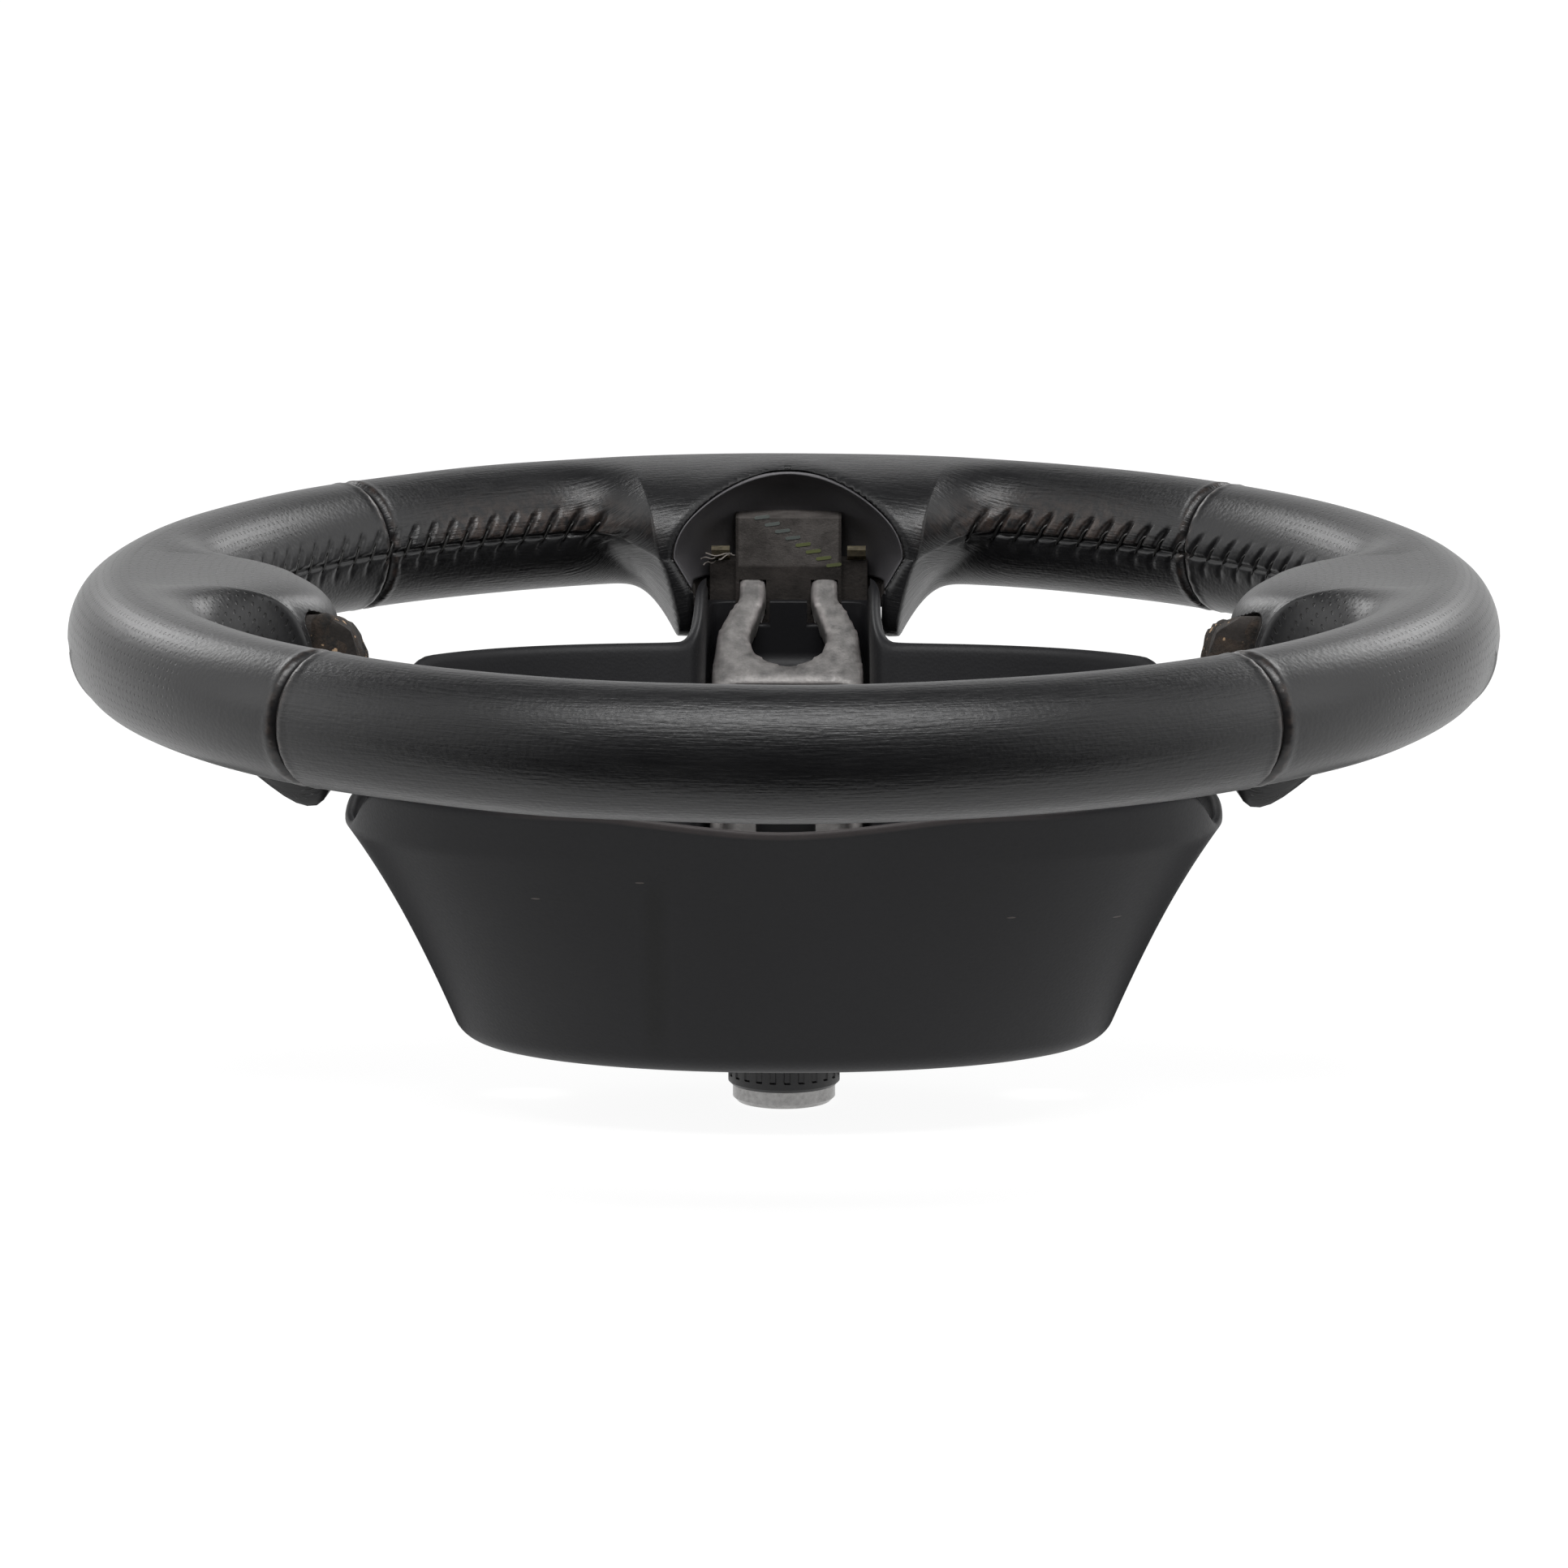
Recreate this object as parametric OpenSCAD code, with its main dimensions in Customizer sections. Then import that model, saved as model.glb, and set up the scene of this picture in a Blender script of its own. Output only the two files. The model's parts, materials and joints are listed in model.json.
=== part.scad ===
// Three-spoke car steering wheel with a leather rim, its airbag module taken off.
// +Z runs along the steering axis towards the driver, and 12 o'clock is at -Y.
// The origin is on the axis, at the open end of the splined hub bush.

/* [Rim] */
// Outer diameter of the leather rim
rim_od = 375; // [360:1:400]
// Grip thickness measured across the wheel
grip_w = 32.4; // [29:0.1:36]
// Grip thickness measured along the steering axis
grip_h = 34.8; // [31:0.1:38]
// Height of the rim's middle plane over the end of the hub bush
rim_rise = 126; // [120:1:134]
// Leather thickness with its glue
leather_t = 1.3; // [0.9:0.1:1.8]
// Gap between two leather panels at a cross seam
seam_gap = 0.4; // [0.2:0.1:0.8]
// Angle from 12 o'clock to each upper cross seam
upper_seam = 43; // [38:0.5:50]
// Angle from 6 o'clock to each lower cross seam
lower_seam = 43.5; // [38:0.5:50]
// Diameter of the steel ring in the rim
ring_d = 12; // [9:0.5:15]
// Wall of the steel ring's tube
ring_wall = 2; // [1.2:0.1:3]

/* [Side stubs] */
// How far a thumb rest reaches inwards from the middle of the grip
stub_reach = 56; // [50:0.5:60]
// Height of a thumb rest's top over the rim's middle plane
stub_top = 15.5; // [12:0.5:17]
// Depth of a stub's underside below the rim's middle plane
stub_drop = 45; // [38:0.5:46]
// Half the angle that a stub's end spans
stub_half = 8.5; // [7.5:0.1:10]
// Angle from a stub's middle at which it has run out into the rim
stub_base = 21; // [18:0.5:24]
// Share of its reach by which a stub's corner on the 12 o'clock side is set back at the top
stub_set_back = 0.09; // [0:0.01:0.15]
// Half width of the arch in a stub's end
arch_half = 16.5; // [14:0.1:17]
// Height of the arch's crown over the rim's middle plane
arch_top = 7; // [5:0.5:8]
// How far the arch falls from its 12 o'clock side to its 6 o'clock side
arch_fall = 10; // [6:0.5:12]

/* [Lower collar] */
// How far the collar reaches inwards from the middle of the grip
collar_reach = 42; // [38:0.5:46]
// Depth of the collar's underside below the rim's middle plane
collar_drop = 27; // [24:0.5:30]
// Half the angle that the collar's inner end spans
collar_half = 15.5; // [15:0.1:16.5]
// Angle from the collar's middle at which it has run out into the rim
collar_base = 25; // [23:0.5:28]
// Half the angle that the collar's legs span on their outer sides
leg_half = 12.8; // [12.4:0.1:13.4]
// Angle from the collar's middle at which the legs have run out into the rim
leg_base = 17.5; // [17:0.1:19]
// Half width of the arch over the trim recess
lip_half = 31.5; // [30:0.1:32.5]
// Height of that arch's crown over the rim's middle plane
lip_top = 15.6; // [14:0.1:16.2]
// Rise of the arch from its widest place to its crown
lip_rise = 20.3; // [18:0.1:22]
// Half width of the trim recess between the collar's legs
recess_half = 25.4; // [25:0.1:26.2]
// Distance from the middle of the grip to the recess's back wall
recess_in = 11.8; // [11:0.1:14]
// Half width of the foam block in the recess
block_half = 14.4; // [13:0.1:16]
// Half width of the block's lower shoulders
shoulder_half = 21.5; // [20:0.1:23]
// Height of the foam block's top over the rim's middle plane
block_top = 4; // [3:0.5:8]
// Depth of the shoulders' top below the rim's middle plane
shoulder_drop = 8; // [6:0.5:10]
// Depth of the block's underside below the rim's middle plane
block_drop = 26; // [23:0.5:28]
// Distance from the middle of the grip to the block's inner face
block_in = 26.3; // [24:0.1:28]

/* [Armature] */
// Height of the hub plate's underside over the origin
plate_z = 28; // [26:0.5:31]
// Thickness of the hub plate
plate_t = 7; // [5:0.5:9]
// Radius of the hub plate
plate_r = 34; // [31:0.5:38]
// Radius of the cast boss round the bush
boss_r = 21; // [19:0.5:23]
// Width of a side spoke
side_w = 23; // [20:0.5:24]
// Web thickness of the spokes
web_t = 5; // [4:0.2:6]
// Height of the spokes' edge ribs
rib_h = 10; // [8:0.5:12]
// Width of the spokes' edge ribs
rib_w = 4; // [3:0.5:5]
// Distance from the axis at which a side spoke turns level
elbow_x = 118; // [114:1:122]
// Depth of a side spoke's elbow below the rim's middle plane
elbow_drop = 16; // [12:0.5:20]
// Half width of the lower spoke
fork_half = 20.6; // [20:0.1:21.2]
// Half distance between the outer sides of the fork's prongs
prong_half = 13.4; // [12.6:0.1:14]
// Half width of the slot between the prongs
slot_half = 6.1; // [5.5:0.1:6.8]
// Radius of the fork's keyhole
keyhole_r = 10.3; // [9.5:0.1:11]
// Gap between the fork and the floor of the cover's channel
fork_gap = 5; // [4:0.1:6]
// Distance from the prongs' bare tips to the keyhole's middle
keyhole_l = 21; // [19:0.5:23]
// Thickness of the fork
fork_t = 8; // [6:0.5:9]
// Depth of the prongs' bare tips below the rim's middle plane
tip_drop = 13; // [11:0.5:15]
// Wall of the eyes cast round the steel ring
eye_wall = 3; // [2:0.2:4]

/* [Hub] */
// Bore of the bush for the steering shaft
bore_d = 17.5; // [16:0.1:19]
// Outer diameter of the bush
bush_d = 27; // [25:0.2:28]
// Length of the bush
bush_l = 44; // [42:0.5:50]
// Outer diameter of the cancelling cam ring
cam_d = 29.4; // [28.6:0.1:31]
// Height of the cam ring over the bush's open end
cam_z = 4.6; // [3.5:0.1:5.5]
// Length of the cam ring
cam_l = 10; // [8:0.5:11]

/* [Back cover] */
// Height of the cover's floor over the origin
cover_z = 17; // [16:0.5:18]
// Wall of the cover
cover_t = 2.8; // [2.2:0.1:3.4]
// Width of the cover's floor
floor_w = 169; // [160:1:176]
// Width of the cover where its walls turn upright
cover_w = 230.4; // [226:0.2:234]
// Height over the floor at which the walls turn upright
flare_h = 60.4; // [56:0.2:66]
// Depth of the cover's floor from 12 to 6 o'clock
floor_l = 100; // [96:1:106]
// How much each long wall leans out for each millimetre of height
wall_lean = 0.325; // [0.28:0.005:0.36]
// Depth of the edge at 12 o'clock below the rim's middle plane
edge_near = 42; // [38:0.5:44]
// How much the edge rises from there towards the cover's corners
edge_dip = 7; // [4:0.5:8]
// Depth of the edge at the side spokes below the rim's middle plane
edge_spoke = 46.5; // [46.5:0.1:50]
// Depth of the edge beside the lower spoke below the rim's middle plane
edge_far = 18; // [16:0.5:20]
// Distance from the middle of the grip to the open end of the channel under the lower spoke
channel_in = 30.3; // [29:0.1:33]
// Depth of the channel's edge below the rim's middle plane
channel_edge = 11; // [10:0.5:13]
// Diameter of the hole for the hub
hub_hole_d = 36; // [33:0.5:40]
// Distance from the middle to each cover screw along X
screw_x = 26; // [24.5:0.5:27]
// Distance from the middle to each cover screw along Y
screw_y = 17; // [16:0.5:18]
// Thread diameter of a cover screw
screw_d = 4; // [3:0.1:5]
// Head diameter of a cover screw
screw_head_d = 8; // [7:0.1:9]
// Distance from the middle to each airbag screw hole
airbag_x = 68; // [66:0.5:70]
// Diameter of the airbag screw holes
airbag_d = 6.6; // [5.5:0.1:7]
// Diameter of the access holes for the airbag screws
access_d = 14; // [12:0.5:16]

/* [Horn contacts] */
// Height of the pillars' tops over the hub plate's underside
pillar_h = 24; // [23:0.5:26]
// Diameter of a pillar
pillar_d = 13; // [12:0.5:15]
// Distance from the axis to the side posts
post_x = 46; // [45:0.5:48]
// Distance from the axis to the lower post
post_y = 52; // [51:0.5:54]
// Shank diameter of a guide post
post_d = 6; // [5:0.1:6.6]
// Head diameter of a guide post
post_head_d = 10; // [9.4:0.1:10.6]
// How deep a post sits in its pillar
post_seat = 8; // [6:0.5:10]
// Travel of a horn cap
cap_travel = 2.5; // [2:0.1:3]
// Outer diameter of a horn cap
cap_d = 16; // [15.4:0.1:17]
// Wall of a horn cap's skirt
cap_wall = 1.5; // [1.2:0.1:1.8]
// Thickness of a cap's guide web
cap_web = 3; // [2.5:0.1:4]
// Wire diameter of a horn spring
wire_d = 1; // [0.8:0.1:1.2]
// Turns of a horn spring
spring_turns = 5; // [4:1:6]

/* [Lower clips] */
// Thickness of a clip's brass strip
clip_t = 0.8; // [0.6:0.1:1]
// Width of a clip
clip_w = 5; // [4:0.5:6]

/* [Hidden] */

// Clearances
touch = 0.3;         // pieces that lie beside each other
slide = 0.05;        // a cap's bore on its post
screw_play = 0.3;    // a screw's shank in the cover

// Where the parts of the wheel stand round its axis
RIGHT = 0;
LOWER = 90;
LEFT = 180;
UPPER = 270;

// Points round a grip section, and the angles that a spoke lobe is worked out at
grip_n = 28;
flank_steps = [1, 0.9, 0.7, 0.5, 0.3, 0.12, 0];
stub_steps = [0, 0.6];
collar_steps = [0, 0.33, 0.66, 0.83, 0.9, 0.95];
nose_fall = 0.24;
joint_sink = 0.25;   // how far a lobe's skin dives under the skin of the arc that it joins
joint_angle = 0.4;   // and how far it runs on inside that arc

ring_r = rim_od / 2 - grip_w / 2;
ring_z = rim_rise;
ring_tube_r = ring_d / 2;
side_eye = 4.4;      // half the angle of a ring eye at a side spoke
prong_eye = 1.8;     // and at a prong
prong_at = 3.2;      // the prongs' middle lines
side_nose = -5;
collar_nose = -6;
recess_back = ring_r - recess_in;
back_r = 34;         // radius of the recess's round back
arch_corner = 4;     // radius of the arch's corners
stub_lip = 6;        // leather left under a stub's arch
core_gap = 1;        // dark gap between the arch and the foam core
stub_end = ring_r - stub_reach;
block_y = ring_r - block_in;
channel_y = ring_r - channel_in;
channel_half = recess_half - touch;
channel_square = 16; // how square the channel's corners are in plan
block_root = 14;     // depth under the rim's middle plane down to which the block is rooted in the collar
clip_l = 5;

// A lobe: reach, top, nose height, drop, bluntness, half and base angle above, the same two below, set-back, steps
side_lobe = [stub_reach, stub_top, side_nose, stub_drop, 0.55, stub_half, stub_base, stub_half, stub_base,
    stub_set_back, stub_steps];
collar_lobe = [collar_reach, grip_h / 2, collar_nose, collar_drop, 0.9, collar_half, collar_base, leg_half, leg_base,
    0, collar_steps];

// The lower spoke's top face runs from the hub plate's edge to the prongs' bare tips
fork_foot = [plate_r + 4, plate_z + plate_t];
fork_tip = [block_y, rim_rise - tip_drop];
fork_l = norm(fork_tip - fork_foot);
fork_slope = atan2(fork_tip[1] - fork_foot[1], fork_tip[0] - fork_foot[0]);
prong_sunk = ring_r - ring_tube_r - block_y;
pocket_l = keyhole_l + keyhole_r + 7;
fork_shoulder = keyhole_l - 2;

post_z = plate_z + pillar_h;
posts = [[-post_x, 0], [post_x, 0], [0, post_y]];
head_z = 14;         // a post head's underside over its pillar
head_t = 2;
web_top = head_z - touch;
web_bottom = web_top - cap_web;
cap_top = head_z + head_t + 2;
skirt_z = cap_travel + 1.5;

function grip_pt(f, t) = [(grip_w / 2 - t) * cos(f), (grip_h / 2 - t) * sin(f)];
function smooth(x) = let (c = min(max(x, 0), 1)) c * c * (3 - 2 * c);

// A section point of a spoke lobe at its full reach: f is the angle round the grip, t the depth under the leather
function lobe_pt(s, f, t) =
    let (reach = s[0] - t, top = s[1] - t, nose = s[2], low = -s[3] + t, k = (f - 180) / 90)
    f <= 90 || f >= 270 ? grip_pt(f, t)
    : f <= 180 ? [-reach * pow(-cos(f), s[4]), nose + (top - nose) * pow(sin(f), s[4])]
    : [-reach * (1 - pow(max(0, (k - 0.3) / 0.7), 1.6)),
        k < 0.5 ? nose + (low - nose) * smooth(k * 2) : low + (t - grip_h / 2 - low) * smooth(k * 2 - 1)];

// How much of the lobe's reach there is at the angle a from the spoke's middle and f round the grip
function lobe_share(s, a, f, t) =
    let (low = smooth((f - 165) / 60), half = s[5] + (s[7] - s[5]) * low, base = s[6] + (s[8] - s[6]) * low,
        b = abs(a) + t / (ring_r - s[0]) * 180 / PI, x = (b - half) / (base - half),
        fall = nose_fall * (1 - 0.8 * low), corner = min(max((s[5] - a) / (2 * s[5]), 0), 1),
        back = s[9] * corner * (1 - smooth((f - 150) / 75)))
    (x <= 0 ? 1 - fall * pow(b / half, 2) : x >= 1 ? 0 : (1 - fall) * pow(1 - x, 3)) * (1 - back);

// One ring of points round the grip, at the angle a from the middle of the spoke at turn
function lobe_ring(s, turn, a, t) = [for (i = [0 : grip_n - 1])
    let (f = 360 * i / grip_n, w = lobe_share(s, a, f, t), p = grip_pt(f, t) * (1 - w) + lobe_pt(s, f, t) * w)
    [(ring_r + p[0]) * cos(turn + a), (ring_r + p[0]) * sin(turn + a), ring_z + p[1]]];

// The angles of a lobe's rings, out from its middle to one side
function lobe_half_angles(s) = concat([for (k = s[10]) k * s[5]],
    [for (i = [len(flank_steps) - 1 : -1 : 0]) s[5] + flank_steps[i] * (s[6] - s[5])]);

// All rings of a lobe's skin; its ends dive by sink under the skin of the arcs
function lobe_rings(s, turn, t, sink) =
    let (all = lobe_half_angles(s), m = len(all), last = all[m - 1])
    concat([lobe_ring(s, turn, -last - joint_angle, t + sink)],
        [for (i = [m - 2 : -1 : 1]) lobe_ring(s, turn, -all[i], t)],
        [for (i = [0 : m - 2]) lobe_ring(s, turn, all[i], t)],
        [lobe_ring(s, turn, last + joint_angle, t + sink)]);

function flat(list) = [for (l = list) each l];

// Side faces of a tube of m rings of n points, whose first point has the index o
function tube_faces(m, n, o, out) = flat([for (j = [0 : m - 2]) for (i = [0 : n - 1])
    let (a = o + j * n + i, b = o + j * n + (i + 1) % n, c = b + n, d = a + n)
    out ? [[a, b, c], [a, c, d]] : [[a, c, b], [a, d, c]]]);

// Faces between two rings of n points that lie in one plane
function band_faces(p, q, n, out) = flat([for (i = [0 : n - 1])
    let (a = p + i, b = p + (i + 1) % n, c = q + (i + 1) % n, d = q + i)
    out ? [[a, b, c], [a, c, d]] : [[a, c, b], [a, d, c]]]);

// A closed solid through a list of rings
module loft(rings) {
    m = len(rings);
    n = len(rings[0]);
    polyhedron(points = flat(rings), faces = concat(tube_faces(m, n, 0, true),
        [[for (i = [n - 1 : -1 : 0]) i]], [[for (i = [0 : n - 1]) (m - 1) * n + i]]), convexity = 8);
}

// A wall between two lofted skins that are open at both ends
module shell_loft(outer, inner) {
    m = len(outer);
    n = len(outer[0]);
    k = m * n;
    polyhedron(points = concat(flat(outer), flat(inner)), faces = concat(
        tube_faces(m, n, 0, true), tube_faces(m, n, k, false),
        band_faces(0, k, n, false), band_faces(k - n, 2 * k - n, n, true)), convexity = 10);
}

// A stretch of the rim between two angles, as deep as t under the leather's face
module grip_2d(t) {
    polygon([for (i = [0 : grip_n - 1]) grip_pt(360 * i / grip_n, t)]);
}

module rim_arc(from, to) {
    translate([0, 0, ring_z])
        rotate([0, 0, from])
            rotate_extrude(angle = to - from, $fn = 180)
                translate([ring_r, 0])
                    children();
}

module leather_arc(from, to) {
    rim_arc(from, to)
        difference() {
            grip_2d(0);
            grip_2d(leather_t);
        }
}

module leather_lobe(s, turn) {
    shell_loft(lobe_rings(s, turn, 0, joint_sink), lobe_rings(s, turn, leather_t, -joint_sink));
}

module foam_lobe(s, turn) {
    loft(lobe_rings(s, turn, leather_t, joint_sink));
}

// Half of a seam's gap as an angle on the rim
seam_half = seam_gap / ring_r * 90 / PI;

// Prisms of the thickness t along Y, drawn in the XZ plane
module slab(t) {
    rotate([90, 0, 0])
        linear_extrude(height = t, center = true)
            children();
}

function unit(v) = v / norm(v);
function side(v) = [-v[1], v[0]];
function mitre(p, i) =
    let (a = i == 0 ? p[1] - p[0] : p[i] - p[i - 1], b = i == len(p) - 1 ? a : p[i + 1] - p[i],
        n = unit(side(unit(a)) + side(unit(b))))
    n / (n * side(unit(b)));
function strip(p, low, high) = concat(
    [for (i = [0 : len(p) - 1]) p[i] + mitre(p, i) * high],
    [for (i = [len(p) - 1 : -1 : 0]) p[i] + mitre(p, i) * low]);

// Middle line of a side spoke's web in the XZ plane
spoke_line = [[plate_r - 6, plate_z + web_t / 2], [plate_r, plate_z + web_t / 2],
    [elbow_x, rim_rise - elbow_drop], [ring_r - ring_tube_r - 1, rim_rise]];

module side_spoke() {
    slab(side_w)
        polygon(strip(spoke_line, -web_t / 2, web_t / 2));
    for (y = [-1, 1])
        translate([0, y * (side_w - rib_w) / 2, 0])
            slab(rib_w)
                polygon(strip(spoke_line, -web_t / 2, rib_h - web_t / 2));
}

// Sleeve round the steel ring at the end of a spoke
module ring_eye(turn, half) {
    rim_arc(turn - half, turn + half)
        circle(r = ring_tube_r + eye_wall, $fn = 48);
}

module ring_eyes_lower() {
    for (a = [-1, 1])
        ring_eye(LOWER + a * prong_at, prong_eye);
}

// Outline of the lower spoke in its own plane: y runs down the slope from the prongs' bare tips
module fork_2d() {
    right = [[prong_half, -prong_sunk], [prong_half, 6], [prong_half + 3, 12], [fork_half - 1.4, fork_shoulder],
        [fork_half, fork_shoulder + 14], [fork_half, fork_l + 8]];
    difference() {
        polygon(concat(right, [for (i = [len(right) - 1 : -1 : 0]) [-right[i][0], right[i][1]]]));
        translate([0, keyhole_l])
            circle(r = keyhole_r, $fn = 64);
        polygon([[-slot_half, -prong_sunk - 1], [slot_half, -prong_sunk - 1], [slot_half, 6],
            [keyhole_r * 0.93, keyhole_l - keyhole_r * 0.36], [-keyhole_r * 0.93, keyhole_l - keyhole_r * 0.36],
            [-slot_half, 6]]);
    }
}

// The lower spoke lies under the sloping line from the hub plate to the prongs' tips
module on_slope() {
    translate([0, fork_tip[0], fork_tip[1]])
        rotate([fork_slope, 0, 0])
            mirror([0, 1, 0])
                children();
}

module fork_slab() {
    linear_extrude(height = fork_t)
        fork_2d();
}

// What the armature's lower end takes out of the foam that is moulded round it
module lower_end() {
    on_slope()
        translate([0, 0, -fork_t])
            fork_slab();
    ring_eyes_lower();
}

module lower_spoke() {
    on_slope()
        translate([0, 0, -fork_t])
            difference() {
                fork_slab();
                translate([-fork_half + rib_w, pocket_l, fork_t - rib_h / 2])
                    cube([2 * (fork_half - rib_w), fork_l - pocket_l - 12, rib_h]);
            }
}

module armature() {
    color("silver")
        difference() {
            union() {
                translate([0, 0, plate_z])
                    cylinder(r = plate_r, h = plate_t, $fn = 96);
                translate([0, 0, cover_z + cover_t + 2])
                    cylinder(r = boss_r, h = bush_l - cover_z - cover_t - 4, $fn = 96);
                translate([-fork_half, 0, plate_z])
                    cube([2 * fork_half, fork_foot[0] + 1, plate_t]);
                side_spoke();
                mirror([1, 0, 0])
                    side_spoke();
                lower_spoke();
                ring_eye(RIGHT, side_eye);
                ring_eye(LEFT, side_eye);
                ring_eyes_lower();
                for (p = posts)
                    translate([p[0], p[1], plate_z])
                        cylinder(d = pillar_d, h = pillar_h, $fn = 48);
                for (x = [-1, 1])
                    translate([x * airbag_x, 0, airbag_z - airbag_boss])
                        cylinder(d = airbag_d + 8, h = 2 * airbag_boss, $fn = 48);
                cover_pillars();
            }
            steel_ring(ring_tube_r);
            translate([0, 0, -1])
                cylinder(d = bush_d, h = bush_l + 2, $fn = 96);
            for (p = posts)
                translate([p[0], p[1], post_z - post_seat])
                    cylinder(d = post_d, h = post_seat + 1, $fn = 48);
            for (p = posts)
                translate([p[0], p[1], post_z])
                    cylinder(d = cap_d + 3, h = rib_h * 3, $fn = 64);
            for (x = [-1, 1])
                translate([x * airbag_x, 0, airbag_z - airbag_boss - 1])
                    cylinder(d = airbag_d, h = 2 * airbag_boss + 2, $fn = 48);
            screw_shanks(screw_d / 2);
            below_slope();
        }
}

// Height of the side spoke's middle line at the airbag screws, and half the height of their bosses
airbag_z = plate_z + (airbag_x - plate_r) / (elbow_x - plate_r) * (rim_rise - elbow_drop - plate_z);
airbag_boss = 9;

// Clears what would stick out under the lower spoke, such as its horn pillar
module below_slope() {
    on_slope()
        translate([-pillar_d, 0, -fork_t - 60])
            cube([2 * pillar_d, fork_l - 8, 60]);
}

module cover_pillars() {
    for (x = [-1, 1])
        for (y = [-1, 1])
            translate([x * screw_x, y * screw_y, cover_z + cover_t])
                cylinder(d = screw_d + 5, h = plate_z - cover_z - cover_t + 1, $fn = 48);
}

module screw_shanks(r) {
    for (x = [-1, 1])
        for (y = [-1, 1])
            translate([x * screw_x, y * screw_y, cover_z])
                cylinder(r = r, h = plate_z - cover_z + 4, $fn = 32);
}

module steel_ring(r) {
    rim_arc(0, 360)
        circle(r = r, $fn = 48);
}

module rim_ring() {
    color("dimgray")
        rim_arc(0, 360)
            difference() {
                circle(r = ring_tube_r, $fn = 48);
                circle(r = ring_tube_r - ring_wall, $fn = 48);
            }
}

module spline_bush() {
    color("lightsteelblue")
        difference() {
            cylinder(d = bush_d, h = bush_l, $fn = 96);
            translate([0, 0, -1])
                cylinder(d = bore_d, h = bush_l + 2, $fn = 96);
        }
}

module cancel_cam() {
    color("black")
        translate([0, 0, cam_z])
            difference() {
                union() {
                    cylinder(d = cam_d, h = cam_l, $fn = 96);
                    translate([-cam_d / 2 - 0.9, -2, cam_l - 3.6])
                        cube([2.4, 4, 2.6]);
                }
                translate([0, 0, -1])
                    cylinder(d = bush_d, h = cam_l + 2, $fn = 96);
            }
}

// The recess for the lower spoke's trim: an arch seen along Y, with a round back seen from above
module recess() {
    mid = lip_top - lip_rise;
    arch = [for (k = [0 : 12]) [lip_half * cos(k * 15), mid + lip_rise * sin(k * 15)]];
    legs = [[-recess_half, mid - lip_rise / 2], [-recess_half, -60], [recess_half, -60],
        [recess_half, mid - lip_rise / 2]];
    intersection() {
        translate([0, recess_back - 40, ring_z])
            slab(80)
                polygon(concat(arch, legs));
        translate([0, recess_back - back_r, ring_z - 50])
            cylinder(r = back_r, h = 80, $fn = 96);
    }
}

// A box from y to y + l, and from the depth low to the height high about the rim's middle plane
module foam_box(half, y, l, low, high) {
    translate([-half, y, ring_z - low])
        cube([2 * half, l, low + high]);
}

// The foam block that the prongs enter, with its shoulders; its foot hangs clear of the collar's leather
module foam_block() {
    root = recess_back + 2 - block_y;
    foam_box(block_half, block_y, root, block_root, block_top);
    foam_box(shoulder_half, block_y + 1.5, root - 8, block_root, -shoulder_drop);
    intersection() {
        union() {
            foam_box(block_half, block_y, root, block_drop, -block_root + 1);
            foam_box(shoulder_half, block_y + 1.5, root, block_drop, -block_root + 1);
        }
        translate([0, recess_back - back_r, ring_z - 50])
            cylinder(r = back_r - touch, h = 80, $fn = 96);
    }
}

// Outline of a stub's arched opening seen along X, made wider by out
module arch_2d(out) {
    r = arch_corner + out;
    foot = stub_lip - stub_drop - out;
    a = [arch_corner - arch_half, arch_top - arch_corner];
    b = [arch_half - arch_corner, arch_top - arch_fall - arch_corner];
    n = unit(side(b - a)) * r;
    polygon([[-arch_half - out, foot], a - [r, 0], a + n, b + n, b + [r, 0], [arch_half + out, foot]]);
    for (c = [a, b])
        translate(c)
            circle(r = r, $fn = 48);
}

module arch_prism(from, to, out) {
    translate([from, 0, ring_z])
        rotate([90, 0, 90])
            linear_extrude(height = to - from)
                arch_2d(out);
}

// Foam on a side spoke where it leaves the thumb rest
module stub_core() {
    intersection() {
        translate([0, 0, ring_z])
            slab(2 * arch_half)
                polygon([[stub_end + 30, arch_top], [stub_end + 6, arch_top], [stub_end - 0.7, 3.4],
                    [stub_end - 2.3, 2.1], [stub_end - 3, 0], [stub_end - 3.8, -3.2], [stub_end - 4.8, -10],
                    [stub_end - 4.6, -18], [stub_end - 1, stub_lip - stub_drop + 6],
                    [stub_end + 14, stub_lip - stub_drop + 2], [stub_end + 30, stub_lip - stub_drop + 14]]);
        arch_prism(stub_end - 10, stub_end + 40, -core_gap);
    }
}

// A stretch of foam round the steel ring
module foam_arc(from, to) {
    rim_arc(from, to)
        difference() {
            grip_2d(leather_t);
            circle(r = ring_tube_r, $fn = 48);
        }
}

module ring_space(turn, base) {
    rim_arc(turn - base - 2 * joint_angle, turn + base + 2 * joint_angle)
        circle(r = ring_tube_r + joint_sink, $fn = 48);
}

module stub_foam() {
    difference() {
        union() {
            foam_lobe(side_lobe, RIGHT);
            stub_core();
        }
        ring_space(RIGHT, stub_base);
        side_spoke();
        ring_eye(RIGHT, side_eye);
    }
}

module collar_foam() {
    difference() {
        foam_lobe(collar_lobe, LOWER);
        recess();
        ring_space(LOWER, collar_base);
        lower_end();
    }
}

module block_foam() {
    difference() {
        foam_block();
        lower_end();
    }
}

module rim_foam() {
    color([0.2, 0.17, 0.15]) {
        foam_arc(stub_base, LOWER - collar_base);
        foam_arc(LOWER + collar_base, LEFT - stub_base);
        foam_arc(LEFT + stub_base, 360 - stub_base);
        stub_foam();
        mirror([1, 0, 0])
            stub_foam();
        collar_foam();
        block_foam();
    }
}

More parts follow.
